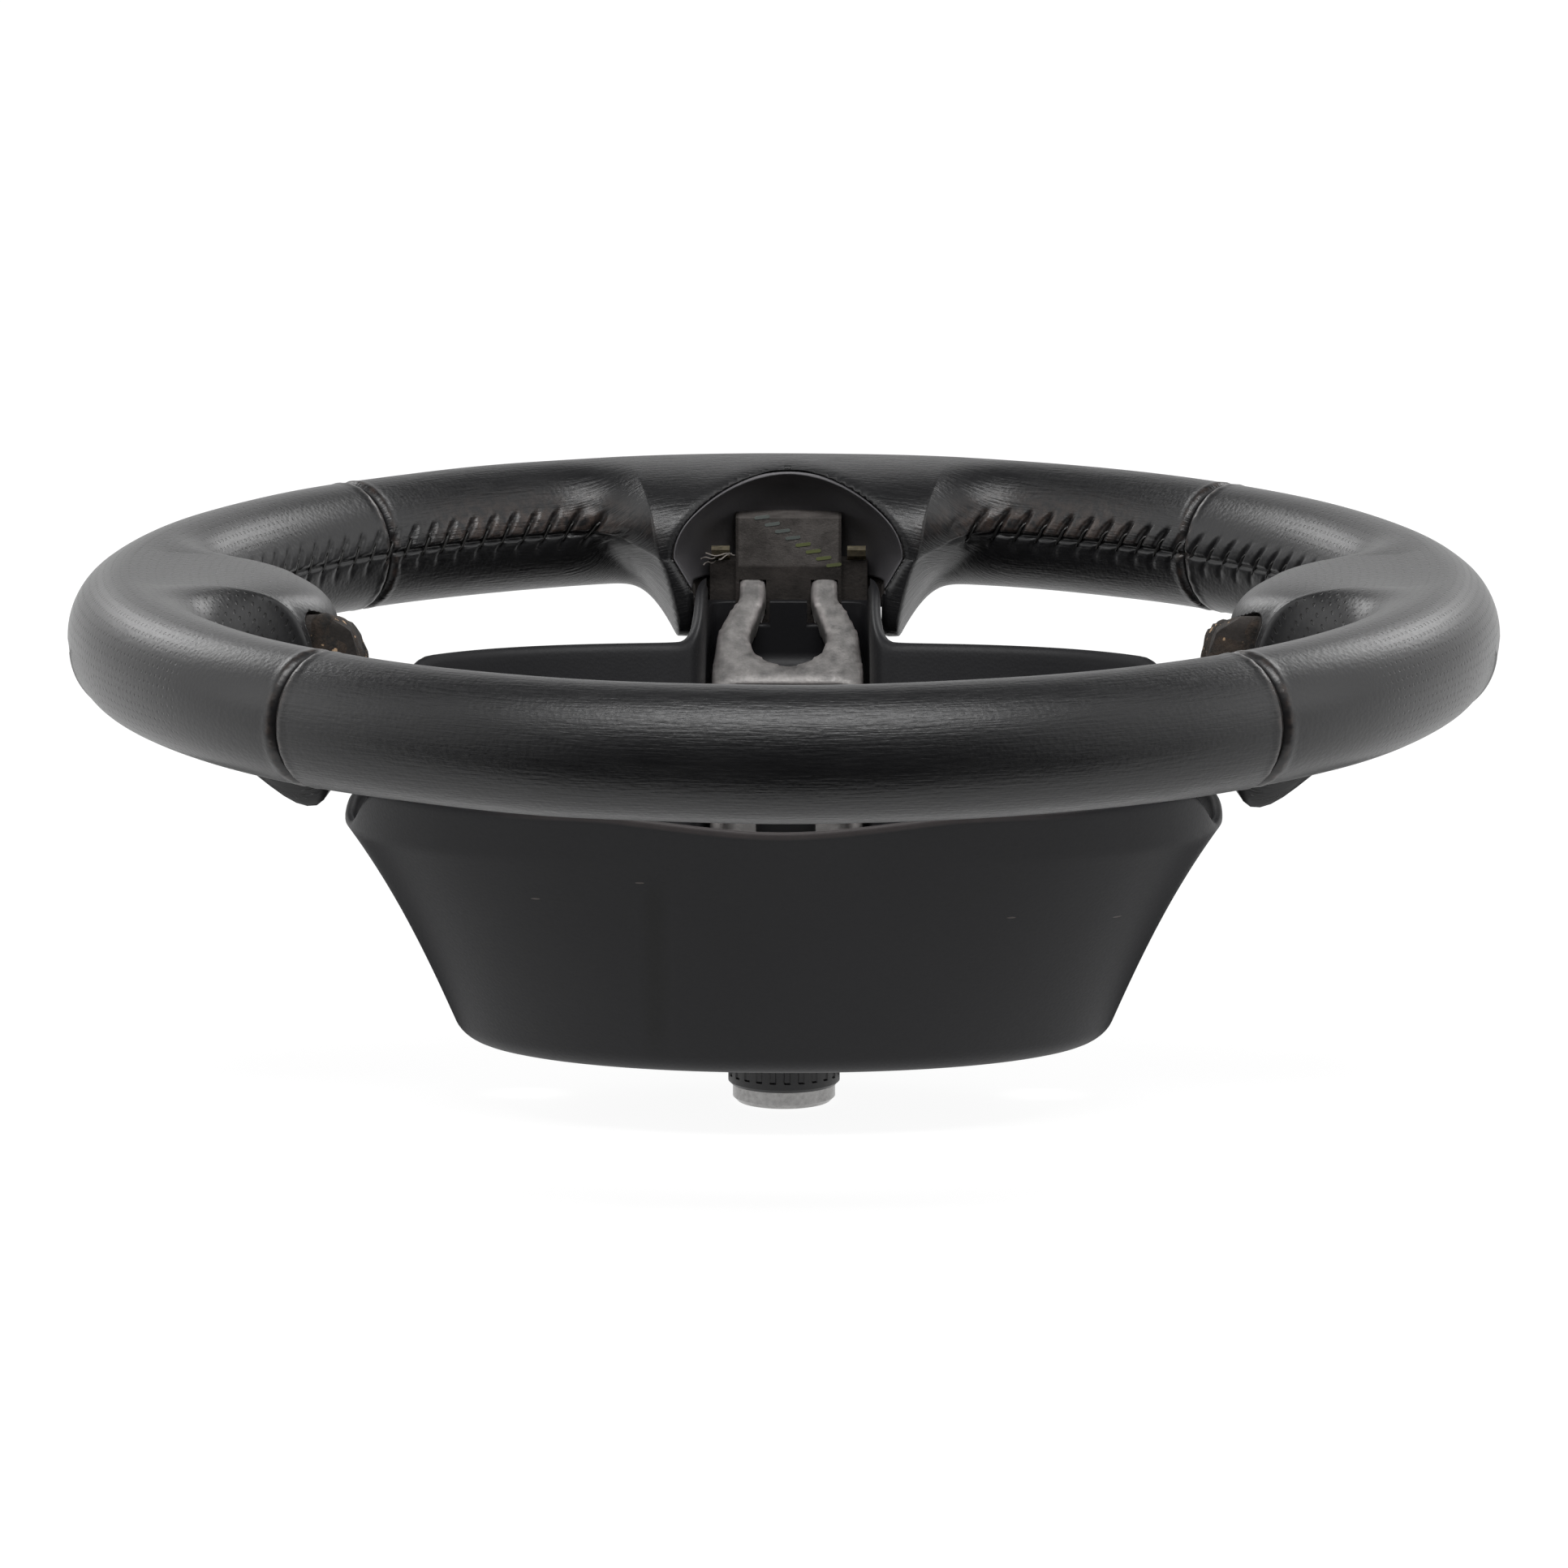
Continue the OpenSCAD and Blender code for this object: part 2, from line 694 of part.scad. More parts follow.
module stub_leather(near, far) {
    difference() {
        union() {
            leather_arc(-near, -stub_base);
            leather_lobe(side_lobe, RIGHT);
            leather_arc(stub_base, far);
        }
        arch_prism(stub_end - 20, stub_end + 16, 0);
    }
}

module leather_right() {
    color([0.17, 0.17, 0.18])
        stub_leather(90 - upper_seam - seam_half, 90 - lower_seam - seam_half);
}

module leather_left() {
    color([0.17, 0.17, 0.18])
        mirror([1, 0, 0])
            stub_leather(90 - upper_seam - seam_half, 90 - lower_seam - seam_half);
}

module leather_top() {
    color([0.15, 0.15, 0.16])
        leather_arc(UPPER - upper_seam + seam_half, UPPER + upper_seam - seam_half);
}

module leather_bottom() {
    color([0.15, 0.15, 0.16])
        difference() {
            union() {
                leather_arc(LOWER - lower_seam + seam_half, LOWER - collar_base);
                leather_lobe(collar_lobe, LOWER);
                leather_arc(LOWER + collar_base, LOWER + lower_seam - seam_half);
            }
            recess();
        }
}

// Plan radius of the cover's bucket at the angle a from 6 o'clock and the height h over its floor, w inside its face
function bucket_r(a, h, w) =
    let (q = min(h / flare_h, 1), bulge = 2 + 0.8 * min(h / flare_h, 1.3),
        x = floor_w / 2 + (cover_w - floor_w) / 2 * (0.83 * q + 0.17 * pow(q, 3)) - w,
        y = floor_l / 2 + wall_lean * h - w)
    pow(pow(abs(sin(a)) / x, bulge) + pow(abs(cos(a)) / y, bulge), -1 / bulge);

// How far the channel's sloping floor lies under the line of the fork's top, straight down
channel_drop = (fork_t + fork_gap) / cos(fork_slope) + cover_t * tan(fork_slope);

// Plan radius of the channel under the lower spoke
function channel_r(a, h, w) =
    let (reach = min(channel_y, fork_foot[0] + (cover_z + h + channel_drop - fork_foot[1]) / tan(fork_slope)) - w)
    reach <= 20 || abs(a) >= 80 ? 1
    : pow(pow(abs(sin(a)) / (channel_half - w), channel_square) + pow(cos(a) / reach, channel_square),
        -1 / channel_square);

function cover_r(a, h, w) = pow(pow(bucket_r(a, h, w), 10) + pow(channel_r(a, h, w), 10), 0.1);

// Height of the cover's edge over its floor at the angle a from 6 o'clock
function edge_h(a) =
    let (b = abs(a), far = edge_far + (edge_spoke - edge_far) * smooth((b - 58) / 20),
        near = edge_spoke + (edge_near - edge_dip - edge_spoke) * smooth((b - 101) / 12)
            + edge_dip * smooth((b - 125) / 55),
        mouth = channel_edge + (far - channel_edge) * smooth((b - 11) / 9))
    rim_rise - cover_z - (b < 90 ? mouth : near);

cover_half_angles = [0, 4, 7, 9, 10.5, 12, 13.5, 15, 17, 19, 22, 26, 31, 37, 43, 49, 55, 60, 65, 70, 75, 80, 85, 90, 95,
    100, 105, 110, 116, 124, 132, 140, 148, 156, 164, 172, 180];
cover_angles = concat([for (i = [len(cover_half_angles) - 1 : -1 : 1]) -cover_half_angles[i]],
    [for (i = [0 : len(cover_half_angles) - 2]) cover_half_angles[i]]);
cover_rows = [0.04, 0.18, 0.32, 0.46, 0.6, 0.74, 0.87, 1];

// One ring of the cover: w inside its face, at the share k of the way from the height low to the edge
function cover_ring(k, low, w, inset) = [for (a = cover_angles)
    let (h = low + (edge_h(a) - low) * k, r = cover_r(a, h, w) - inset)
    [r * sin(a), r * cos(a), cover_z + h]];

// The bucket as one wall: its outer skin, its inner skin and the edge between them
module bucket() {
    outer = concat([cover_ring(0, 0, 0, 4)], [cover_ring(0.012, 0, 0, 1.2)],
        [for (k = cover_rows) cover_ring(k, 0, 0, 0)]);
    inner = concat([cover_ring(0, cover_t, cover_t, 4)], [for (k = cover_rows) cover_ring(k, cover_t, cover_t, 0)]);
    n = len(cover_angles);
    m = len(outer);
    k = m * n;
    p = len(inner);
    polyhedron(points = concat(flat(outer), flat(inner)), faces = concat(
        tube_faces(m, n, 0, true), tube_faces(p, n, k, false),
        band_faces(k - n, k + (p - 1) * n, n, true),
        [[for (i = [n - 1 : -1 : 0]) i]], [[for (i = [0 : n - 1]) k + i]]), convexity = 8);
}

// Opens the channel's end, down to its floor, for the fork
module channel_mouth() {
    half = channel_half - cover_t;
    floor_z = fork_tip[1] - (fork_tip[0] - channel_y) * tan(fork_slope) - (fork_t + fork_gap) / cos(fork_slope);
    translate([-half, channel_y - 12, floor_z])
        cube([2 * half, 14, fork_t * 4]);
}

module back_cover() {
    color([0.13, 0.13, 0.14])
        difference() {
            bucket();
            translate([0, 0, cover_z - 1])
                cylinder(d = hub_hole_d, h = cover_t + 2, $fn = 96);
            channel_mouth();
            screw_shanks(screw_d / 2 + screw_play);
            for (x = [-1, 1])
                translate([x * airbag_x, 0, cover_z - 1])
                    cylinder(d = access_d, h = cover_t + 2, $fn = 48);
        }
}

module cover_screws() {
    color("gray")
        for (x = [-1, 1])
            for (y = [-1, 1])
                translate([x * screw_x, y * screw_y, cover_z]) {
                    cylinder(d = screw_d, h = plate_z - cover_z + 4, $fn = 32);
                    translate([0, 0, -2.4])
                        difference() {
                            cylinder(d = screw_head_d, h = 2.4, $fn = 48);
                            translate([0, 0, -1])
                                cylinder(d = screw_d - 1, h = 2.4, $fn = 6);
                        }
                }
}

module horn_post(p) {
    color("lightgray")
        translate([p[0], p[1], post_z]) {
            translate([0, 0, -post_seat])
                cylinder(d = post_d, h = post_seat + head_z, $fn = 48);
            translate([0, 0, head_z])
                cylinder(d = post_head_d, h = head_t, $fn = 48);
        }
}

// A sliding cap: its skirt hides the spring, and its web rides on the post under the head
module horn_cap(p) {
    color([0.1, 0.1, 0.11])
        translate([p[0], p[1], post_z])
            difference() {
                translate([0, 0, skirt_z])
                    cylinder(d = cap_d, h = cap_top - skirt_z, $fn = 64);
                translate([0, 0, skirt_z - 1])
                    cylinder(d = cap_d - 2 * cap_wall, h = web_bottom - skirt_z + 1, $fn = 64);
                translate([0, 0, skirt_z])
                    cylinder(d = post_d + 2 * slide, h = cap_top, $fn = 64);
                translate([0, 0, web_top])
                    cylinder(d = post_head_d + 2 * touch, h = cap_top, $fn = 64);
            }
}

// A compression spring between the pillar's top and the cap's web
module horn_spring(p) {
    sides = 6;
    per_turn = 8;
    r = post_d / 2 + wire_d / 2 + touch;
    low = touch + wire_d / 2;
    high = web_bottom - touch - wire_d / 2;
    steps = spring_turns * per_turn;
    color("lightsteelblue")
        translate([p[0], p[1], post_z])
            loft([for (j = [0 : steps])
                let (a = 360 * j / per_turn, z = low + (high - low) * j / steps)
                [for (i = [0 : sides - 1])
                    let (b = 360 * i / sides, q = r + wire_d / 2 * cos(b))
                    [q * cos(a), q * sin(a), z + wire_d / 2 * sin(b)]]]);
}

// A folded brass strip on the shoulder of the foam block
module clip() {
    x = (block_half + shoulder_half) / 2 + 0.6;
    z = ring_z - shoulder_drop;
    translate([x - clip_w / 2, block_y + 2, z])
        cube([clip_w, clip_l, clip_t]);
    translate([x - clip_w / 2, block_y + 2, z])
        cube([clip_w, clip_t, 4.2]);
    translate([x - clip_w / 2, block_y - 1, z + 4.2 - clip_t])
        cube([clip_w, 3 + clip_t, clip_t]);
}

module clip_right() {
    color("goldenrod")
        clip();
}

module clip_left() {
    color("goldenrod")
        mirror([1, 0, 0])
            clip();
}

armature();
rim_ring();
spline_bush();
cancel_cam();
rim_foam();
leather_top();
leather_bottom();
leather_left();
leather_right();
back_cover();
cover_screws();
horn_post(posts[0]);  // horn_post_left
horn_post(posts[1]);  // horn_post_right
horn_post(posts[2]);  // horn_post_lower
horn_spring(posts[0]);  // horn_spring_left
horn_spring(posts[1]);  // horn_spring_right
horn_spring(posts[2]);  // horn_spring_lower
horn_cap(posts[0]);  // horn_cap_left
horn_cap(posts[1]);  // horn_cap_right
horn_cap(posts[2]);  // horn_cap_lower
clip_left();
clip_right();
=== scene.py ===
"""Looks of a leather car steering wheel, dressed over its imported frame.

Lengths in the modelling code are millimetres in the frame's own axes: +Z runs up the steering axis,
12 o'clock is at -Y and the rim's middle plane lies at RIM_Z. put() turns them into metres. Places round
the rim are theta, in degrees from +X; places round the grip are f, in degrees from its outer side.
"""

import bpy
import json
import math
import numpy as np
from collections import namedtuple
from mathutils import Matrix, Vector


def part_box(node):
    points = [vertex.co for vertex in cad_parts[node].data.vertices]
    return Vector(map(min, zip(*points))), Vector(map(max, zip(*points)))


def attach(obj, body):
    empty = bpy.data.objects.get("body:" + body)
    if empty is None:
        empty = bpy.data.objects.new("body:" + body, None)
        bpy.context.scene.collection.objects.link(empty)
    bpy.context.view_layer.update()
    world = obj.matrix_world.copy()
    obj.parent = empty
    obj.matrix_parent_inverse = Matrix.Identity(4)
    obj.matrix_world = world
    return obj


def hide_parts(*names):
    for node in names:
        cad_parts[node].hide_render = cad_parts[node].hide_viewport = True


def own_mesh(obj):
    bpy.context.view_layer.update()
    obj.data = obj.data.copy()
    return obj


MM = 0.001
PER_MM = (1000.0, 1000.0, 1000.0)
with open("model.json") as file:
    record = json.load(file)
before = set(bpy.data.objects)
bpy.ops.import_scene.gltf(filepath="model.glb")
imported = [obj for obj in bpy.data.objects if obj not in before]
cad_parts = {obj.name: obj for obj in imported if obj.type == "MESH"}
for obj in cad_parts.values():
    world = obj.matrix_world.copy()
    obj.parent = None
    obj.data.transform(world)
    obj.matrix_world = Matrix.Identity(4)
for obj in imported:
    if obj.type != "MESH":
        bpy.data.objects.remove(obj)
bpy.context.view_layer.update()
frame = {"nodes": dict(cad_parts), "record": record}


def span(node):
    """Lowest and highest corner of a node in millimetres."""
    low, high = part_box(node)
    return np.array(low) / MM, np.array(high) / MM


# Driving sizes of the rim; the heights and the outer radius are the frame's own
TOP_LOW, TOP_HIGH = span("leather_top")
GRIP_H = TOP_HIGH[2] - TOP_LOW[2]
GRIP_W = 32.4
RIM_Z = (TOP_HIGH[2] + TOP_LOW[2]) / 2
RIM_R = -TOP_LOW[1]
RING_R = RIM_R - GRIP_W / 2
LEATHER_T = 1.3
SEAM_GAP = 0.4
SEAMS = (-47.0, 46.5, 133.5, 227.0)

# A lobe's reach, top, nose and drop are lengths; half and base are where its blunt middle and its flanks end,
# in degrees from its own middle, for its upper and its lower side
Lobe = namedtuple("Lobe", "turn reach top nose drop blunt half_up base_up half_low base_low set_back")
THUMB_REST = (56.0, 15.5, -5.0, 45.0, 0.55, 8.5, 21.0, 8.5, 21.0, 0.09)
LOBES = (
    Lobe(0.0, *THUMB_REST),
    Lobe(180.0, *THUMB_REST),
    Lobe(90.0, 42.0, GRIP_H / 2, -6.0, 27.0, 0.9, 15.5, 25.0, 12.8, 17.5, 0.0),
)
RESTS = LOBES[:2]
NOSE_FALL = 0.24
SIDE_END = RING_R - RESTS[0].reach

# The recess in the lower collar, the foam block in it, and how far the recess is cut past the leather
RECESS_BACK = RING_R - 11.8
RECESS_HALF = 25.4
LIP_HALF, LIP_TOP, LIP_RISE = 31.5, 15.6, 20.3
LIP_MIDDLE = LIP_TOP - LIP_RISE
BACK_R = 34.0
BLOCK_Y = RING_R - 26.3
PAST = 60.0


def smooth(x):
    c = np.clip(x, 0, 1)
    return c * c * (3 - 2 * c)


def ramp(x, start, width):
    """Rises softly from 0 at start to 1 at start + width."""
    return smooth((x - start) / width)


def bump_at(x, width):
    return np.exp(-((x / width) ** 2))


# Meshes


def linked(name, data):
    """A new object in the scene."""
    made = bpy.data.objects.new(name, data)
    bpy.context.scene.collection.objects.link(made)
    return made


def put(name, points, faces, paint, slot=None, body="wheel", flat=False):
    """A mesh object from points in millimetres, riding on a body."""
    mesh = bpy.data.meshes.new(name)
    points = np.asarray(points, float).reshape(-1, 3) * MM
    mesh.from_pydata(points.tolist(), [], [list(map(int, face)) for face in faces])
    mesh.validate()
    if not flat:
        mesh.shade_smooth()
    mesh.materials.append(PAINTS[paint])
    piece = linked(name, mesh)
    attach(piece, body)
    return piece


def node_copy(node, name, paint):
    """A new object with the mesh of one of the frame's nodes."""
    source = frame["nodes"][node]
    mesh = source.data.copy()
    mesh.transform(source.matrix_world)
    mesh.materials.clear()
    mesh.materials.append(PAINTS[paint])
    return linked(name, mesh)


def modify(piece, kind, **settings):
    modifier = piece.modifiers.new(kind.lower(), kind)
    for key, value in settings.items():
        setattr(modifier, key, value)


def applied(piece):
    """Replaces a piece's mesh with its mesh after modifiers."""
    bpy.context.view_layer.update()
    graph = bpy.context.evaluated_depsgraph_get()
    mesh = bpy.data.meshes.new_from_object(
        piece.evaluated_get(graph), preserve_all_data_layers=True, depsgraph=graph)
    piece.modifiers.clear()
    old = piece.data
    piece.data = mesh
    bpy.data.meshes.remove(old)
    mesh.name = piece.name


def cut(piece, cutter, operation="DIFFERENCE"):
    """Takes the cutter's solid out of a piece, or keeps what lies in it."""
    modify(piece, "BOOLEAN", operation=operation, object=cutter, solver="EXACT")
    applied(piece)
    bpy.data.objects.remove(cutter)


def roughened(piece, rise):
    """Moves a piece's points along their normals by rise, a function of their places."""
    points = np.zeros(len(piece.data.vertices) * 3)
    piece.data.vertices.foreach_get("co", points)
    points = points.reshape(-1, 3) / MM
    normals = np.array([vertex.normal for vertex in piece.data.vertices])
    points = points + normals * rise(points)[:, None]
    piece.data.vertices.foreach_set("co", (points * MM).ravel())
    piece.data.shade_smooth()


def space_waves(seed, count, steepest):
    """Random directions and phases of waves through space."""
    draws = np.random.default_rng(seed)
    return [(draws.uniform(-steepest, steepest, 3), draws.uniform(0, 6.3)) for _ in range(count)]


def wave_sum(points, waves):
    return sum(np.sin(points @ direction + phase) for direction, phase in waves)


def grid_faces(m, n, start=0, closed=True, flip=False):
    """Quads between m rings of n points."""
    i = np.arange(m - 1)[:, None]
    j = np.arange(n if closed else n - 1)[None, :]
    k = (j + 1) % n
    quads = np.stack([i * n + j, (i + 1) * n + j, (i + 1) * n + k, i * n + k], -1).reshape(-1, 4) + start
    return quads[:, ::-1] if flip else quads


def circle(steps):
    return np.linspace(0, 2 * math.pi, steps, endpoint=False)


def end_faces(m, n):
    """Flat ends for m rings of n points."""
    return [list(range(n)), [(m - 1) * n + j for j in range(n - 1, -1, -1)]]


def turned(rows, steps, centre=(0.0, 0.0), closed=True):
    """Rings round Z through rows of (radius, height), a radius being a number, an array or a function of
    the turn. Closed rows join the last ring to the first."""
    turn = circle(steps)
    rings = []
    for radius, z in rows:
        r = radius(turn) if callable(radius) else radius + 0 * turn
        rings.append(np.stack([r * np.cos(turn) + centre[0], r * np.sin(turn) + centre[1], z + 0 * turn], 1))
    m = len(rings)
    faces = grid_faces(m, steps, flip=True).tolist()
    last = (m - 1) * steps
    if closed:
        faces += [[last + j, last + (j + 1) % steps, (j + 1) % steps, j] for j in range(steps)]
    else:
        faces += end_faces(m, steps)
    return np.vstack(rings), faces


def tube(path, radius, sides=8):
    """Rings of a round tube along a path, with flat ends."""
    path = np.asarray(path, float)
    m = len(path)
    along = np.vstack([path[1:], path[-1:]]) - np.vstack([path[:1], path[:-1]])
    along /= np.linalg.norm(along, axis=1)[:, None]
    side = np.cross(along, np.array([0.0, 0.0, 1.0]))
    upright = np.linalg.norm(side, axis=1) < 1e-3
    side[upright] = np.cross(along[upright], np.array([1.0, 0.0, 0.0]))
    side /= np.linalg.norm(side, axis=1)[:, None]
    up = np.cross(side, along)
    turn = circle(sides)[None, :, None]
    width = np.broadcast_to(np.asarray(radius, float), (m,))[:, None, None]
    rings = path[:, None, :] + width * (np.cos(turn) * side[:, None, :] + np.sin(turn) * up[:, None, :])
    return rings.reshape(-1, 3), grid_faces(m, sides, flip=True).tolist() + end_faces(m, sides)


def prism(near, far, flip=False):
    """A closed solid between two outlines of as many points; flip turns its faces over."""
    n = len(near)
    around = [[j, (j + 1) % n, n + (j + 1) % n, n + j] for j in range(n)]
    faces = [list(range(n - 1, -1, -1)), list(range(n, 2 * n))] + around
    return list(near) + list(far), [face[::-1] for face in faces] if flip else faces


def box(low, high):
    """An upright box between its lowest and highest corner."""
    ring = ((low[0], low[1]), (high[0], low[1]), (high[0], high[1]), (low[0], high[1]))
    return prism([(x, y, low[2]) for x, y in ring], [(x, y, high[2]) for x, y in ring])


def cylinder(x, y, radius, low, high, steps):
    ring = [(x + radius * math.cos(t), y + radius * math.sin(t)) for t in circle(steps)]
    return prism([(*place, low) for place in ring], [(*place, high) for place in ring])


def cutter(points, faces):
    """A solid that is there only to be taken out of a piece."""
    return put("cutter", points, faces, "foam", flat=True)


def joined(parts):
    """Points and faces of several parts as one."""
    points, faces, start = [], [], 0
    for part_points, part_faces in parts:
        points.append(np.asarray(part_points, float))
        faces += [[index + start for index in face] for face in part_faces]
        start += len(part_points)
    return np.vstack(points), faces


# Node materials


class Paint:
    """A Principled material, with short calls for the nodes that feed it."""

    SETTINGS = ("operation", "feature", "data_type", "attribute_name", "uv_map")

    def __init__(self, name, colour, rough, metal=0.0):
        self.material = bpy.data.materials.new(name)
        self.material.use_nodes = True
        self.tree = self.material.node_tree
        self.shader = self.tree.nodes["Principled BSDF"]
        self.normal = None
        self.fix("Base Color", (*colour, 1))
        self.fix("Roughness", rough)
        self.fix("Metallic", metal)

    def fix(self, name, value):
        self.shader.inputs[name].default_value = value

    def feed(self, socket, value):
        if isinstance(value, bpy.types.NodeSocket):
            self.tree.links.new(value, socket)
        else:
            socket.default_value = value

    def node(self, kind, **inputs):
        """A node with its settings and sockets; _0 is the first socket and From_Min is From Min."""
        made = self.tree.nodes.new("ShaderNode" + kind)
        for key, value in inputs.items():
            if key in self.SETTINGS:
                setattr(made, key, value)
            else:
                socket = int(key[1:]) if key[1:].isdigit() else key.replace("_", " ")
                self.feed(made.inputs[socket], value)
        return made

    def math(self, operation, a, b=0.0, c=0.0):
        return self.node("Math", operation=operation, _0=a, _1=b, _2=c).outputs[0]

    def times(self, first, *others):
        for other in others:
            first = self.math("MULTIPLY", first, other)
        return first

    def spread(self, value, low, high, to_low=0.0, to_high=1.0):
        return self.node("MapRange", Value=value, From_Min=low, From_Max=high, To_Min=to_low,
                         To_Max=to_high).outputs[0]

    def objects_place(self, scale=PER_MM):
        """The place on the object, in millimetres unless scaled otherwise."""
        place = self.node("TexCoord").outputs["Object"]
        return self.node("Mapping", Vector=place, Scale=scale).outputs[0]

    def rim_place(self, scale=PER_MM):
        """The lengths along and round the grip, in millimetres unless scaled otherwise."""
        place = self.node("UVMap", uv_map="grip").outputs[0]
        return self.node("Mapping", Vector=place, Scale=scale).outputs[0]

    def axes(self, place):
        return self.node("SeparateXYZ", Vector=place).outputs

    def attribute(self, name):
        return self.node("Attribute", attribute_name=name).outputs["Fac"]

    def noise(self, place, scale, detail=2.0, rough=0.5):
        return self.node("TexNoise", Vector=place, Scale=scale, Detail=detail, Roughness=rough).outputs[0]

    def cells(self, place, scale):
        return self.node("TexVoronoi", feature="F1", Vector=place, Scale=scale).outputs[0]

    def mix(self, share, a, b):
        made = self.node("Mix", data_type="RGBA", _0=share)
        for socket, value in ((made.inputs[6], a), (made.inputs[7], b)):
            self.feed(socket, value if isinstance(value, bpy.types.NodeSocket) else (*value, 1))
        return made.outputs[2]

    def blend(self, value, low, high, dark, pale):
        """A colour that goes from dark to pale as value goes from low to high."""
        return self.mix(self.spread(value, low, high), dark, pale)

    def colour(self, socket):
        self.feed(self.shader.inputs["Base Color"], socket)

    def rough(self, socket, scale, least):
        """Roughness of least plus scale times a value."""
        self.feed(self.shader.inputs["Roughness"], self.math("MULTIPLY_ADD", socket, scale, least))

    def bump(self, height, depth, strength):
        """Adds one layer of bump, height being from 0 to 1 and depth in millimetres."""
        made = self.node("Bump", Strength=strength, Distance=depth * MM, Height=height)
        if self.normal is not None:
            self.tree.links.new(self.normal, made.inputs["Normal"])
        self.normal = made.outputs[0]
        self.feed(self.shader.inputs["Normal"], self.normal)


BLACK = (0.002, 0.002, 0.002)
LEATHER_DARK, LEATHER_PALE = (0.0085, 0.0085, 0.0095), (0.0135, 0.0135, 0.0145)
# Brown of rubbed leather, also used as a painted sheen on the seams and the lacing.
WEAR_SHEEN_BROWN = (0.085, 0.062, 0.052)
HOLE_PITCH, HOLE_R, HOLE_EDGE = 2.3, 0.13, 0.19
STREAKS = (120.0, 1500.0, 1000.0)
COVER_DARK, COVER_PALE = (0.0105, 0.0105, 0.0122), (0.0145, 0.0145, 0.0165)
# Paler tone of the cover's front lip: wear and painted highlight.
COVER_WEAR_HIGHLIGHT = (0.062, 0.054, 0.054)
STREAK_X = -33.0
NICKS = ((-36.7, 71.7), (-63.8, 66.0), (59.3, 61.0), (87.0, 58.0))
NICK_COLOUR = (0.17, 0.15, 0.14)


def hole_rows(p, place):
    """Small holes in square rows along and round the grip; their radii are shares of the pitch."""
    u, v, _ = p.axes(place)
    off = [p.math("SUBTRACT", p.math("FRACT", p.math("DIVIDE", length, HOLE_PITCH)), 0.5)
           for length in (u, v)]
    squares = [p.math("POWER", length, 2.0) for length in off]
    return p.spread(p.math("SQRT", p.math("ADD", *squares)), HOLE_R, HOLE_EDGE, 1.0, 0.0)


def leather(name, holes):
    """Black grained leather, with holes or with streaks, painted brown where the mesh says so: rubbed wear,
    and also painted sheen on the seams and the lacing.
    """
    p = Paint(name, LEATHER_DARK, 0.42)
    place = p.rim_place()
    fine = p.noise(place, 0.9, 3.0)
    colour = p.blend(p.noise(place, 0.03, 3.0), 0.35, 0.65, LEATHER_DARK, LEATHER_PALE)
    # Painted sheen and wear: the mesh's attribute mixes in brown, partly rubbed leather and partly a stand-in
    # for the shine of seams and lacing.
    patchy = p.times(p.attribute("wear_and_highlight"), p.spread(p.noise(place, 0.35, 4.0, 0.65), 0.38, 0.62))
    colour = p.mix(patchy, colour, WEAR_SHEEN_BROWN)
    p.bump(p.cells(place, 0.85), 0.07, 0.6)
    p.bump(fine, 0.05, 0.5)
    rough = p.math("MULTIPLY_ADD", fine, 0.12, 0.3)
    if holes:
        hole = p.times(hole_rows(p, place), p.attribute("holes"))
        colour = p.mix(hole, colour, BLACK)
        p.bump(p.math("SUBTRACT", 1.0, hole), 0.4, 0.8)
    else:
        streak = p.noise(p.rim_place(STREAKS), 1.0, 3.0, 0.6)
        p.bump(streak, 0.2, 0.7)
        rough = p.math("MULTIPLY_ADD", streak, 0.3, p.math("SUBTRACT", rough, 0.15))
    p.rough(patchy, -0.1, rough)
    p.colour(colour)
    p.fix("Sheen Weight", 0.22 if holes else 0.03)
    p.fix("Sheen Roughness", 0.35)
    return p.material


def cast_metal():
    """Dull cast alloy, with a painted highlight on its edges and painted shade that darkens it down in the
    cover.
    """
    p = Paint("cast_alloy", (0.3, 0.29, 0.285), 0.55, 0.55)
    place = p.objects_place()
    coarse = p.noise(place, 0.25, 4.0, 0.6)
    fine = p.noise(place, 1.6, 2.0)
    edge = p.node("NewGeometry").outputs["Pointiness"]
    colour = p.blend(coarse, 0.3, 0.7, (0.17, 0.165, 0.162), (0.36, 0.345, 0.335))
    # Painted highlight: sharp edges, found by pointiness, are painted a pale pinkish grey as if catching the
    # light.
    colour = p.blend(edge, 0.52, 0.58, colour, (0.62, 0.57, 0.56))
    # Painted shade: the casting is mixed to a dark grey below about 88 mm, where the cover's depth would
    # shade it.
    p.colour(p.blend(p.axes(place)[2], 50.0, 88.0, (0.09, 0.086, 0.084), colour))
    p.rough(fine, 0.25, 0.42)
    p.bump(coarse, 0.25, 0.6)
    p.bump(fine, 0.08, 0.7)
    return p.material


def plain_metal(name, colour, rough, brushed=0.0):
    """Metal with faint spots, and turning marks of the depth brushed."""
    p = Paint(name, colour, rough, 1.0)
    spots = p.noise(p.objects_place(), 0.8, 3.0)
    p.colour(p.blend(spots, 0.35, 0.7, tuple(c * 0.72 for c in colour), colour))
    p.rough(spots, 0.2, rough - 0.1)
    if brushed:
        p.bump(p.noise(p.objects_place((30.0, 30.0, 3000.0)), 1.0, 2.0), brushed, 0.5)
    return p.material


def moulded(name, dark, pale, rough, grain, depth):
    """Plain plastic, or thread and print, with a fine grain."""
    p = Paint(name, dark, rough)
    place = p.objects_place()
    p.colour(p.blend(p.noise(place, 0.02, 3.0), 0.35, 0.65, dark, pale))
    p.bump(p.cells(place, grain), depth, 0.5)
    p.rough(p.noise(place, 1.2, 2.0), 0.12, rough - 0.06)
    return p.material


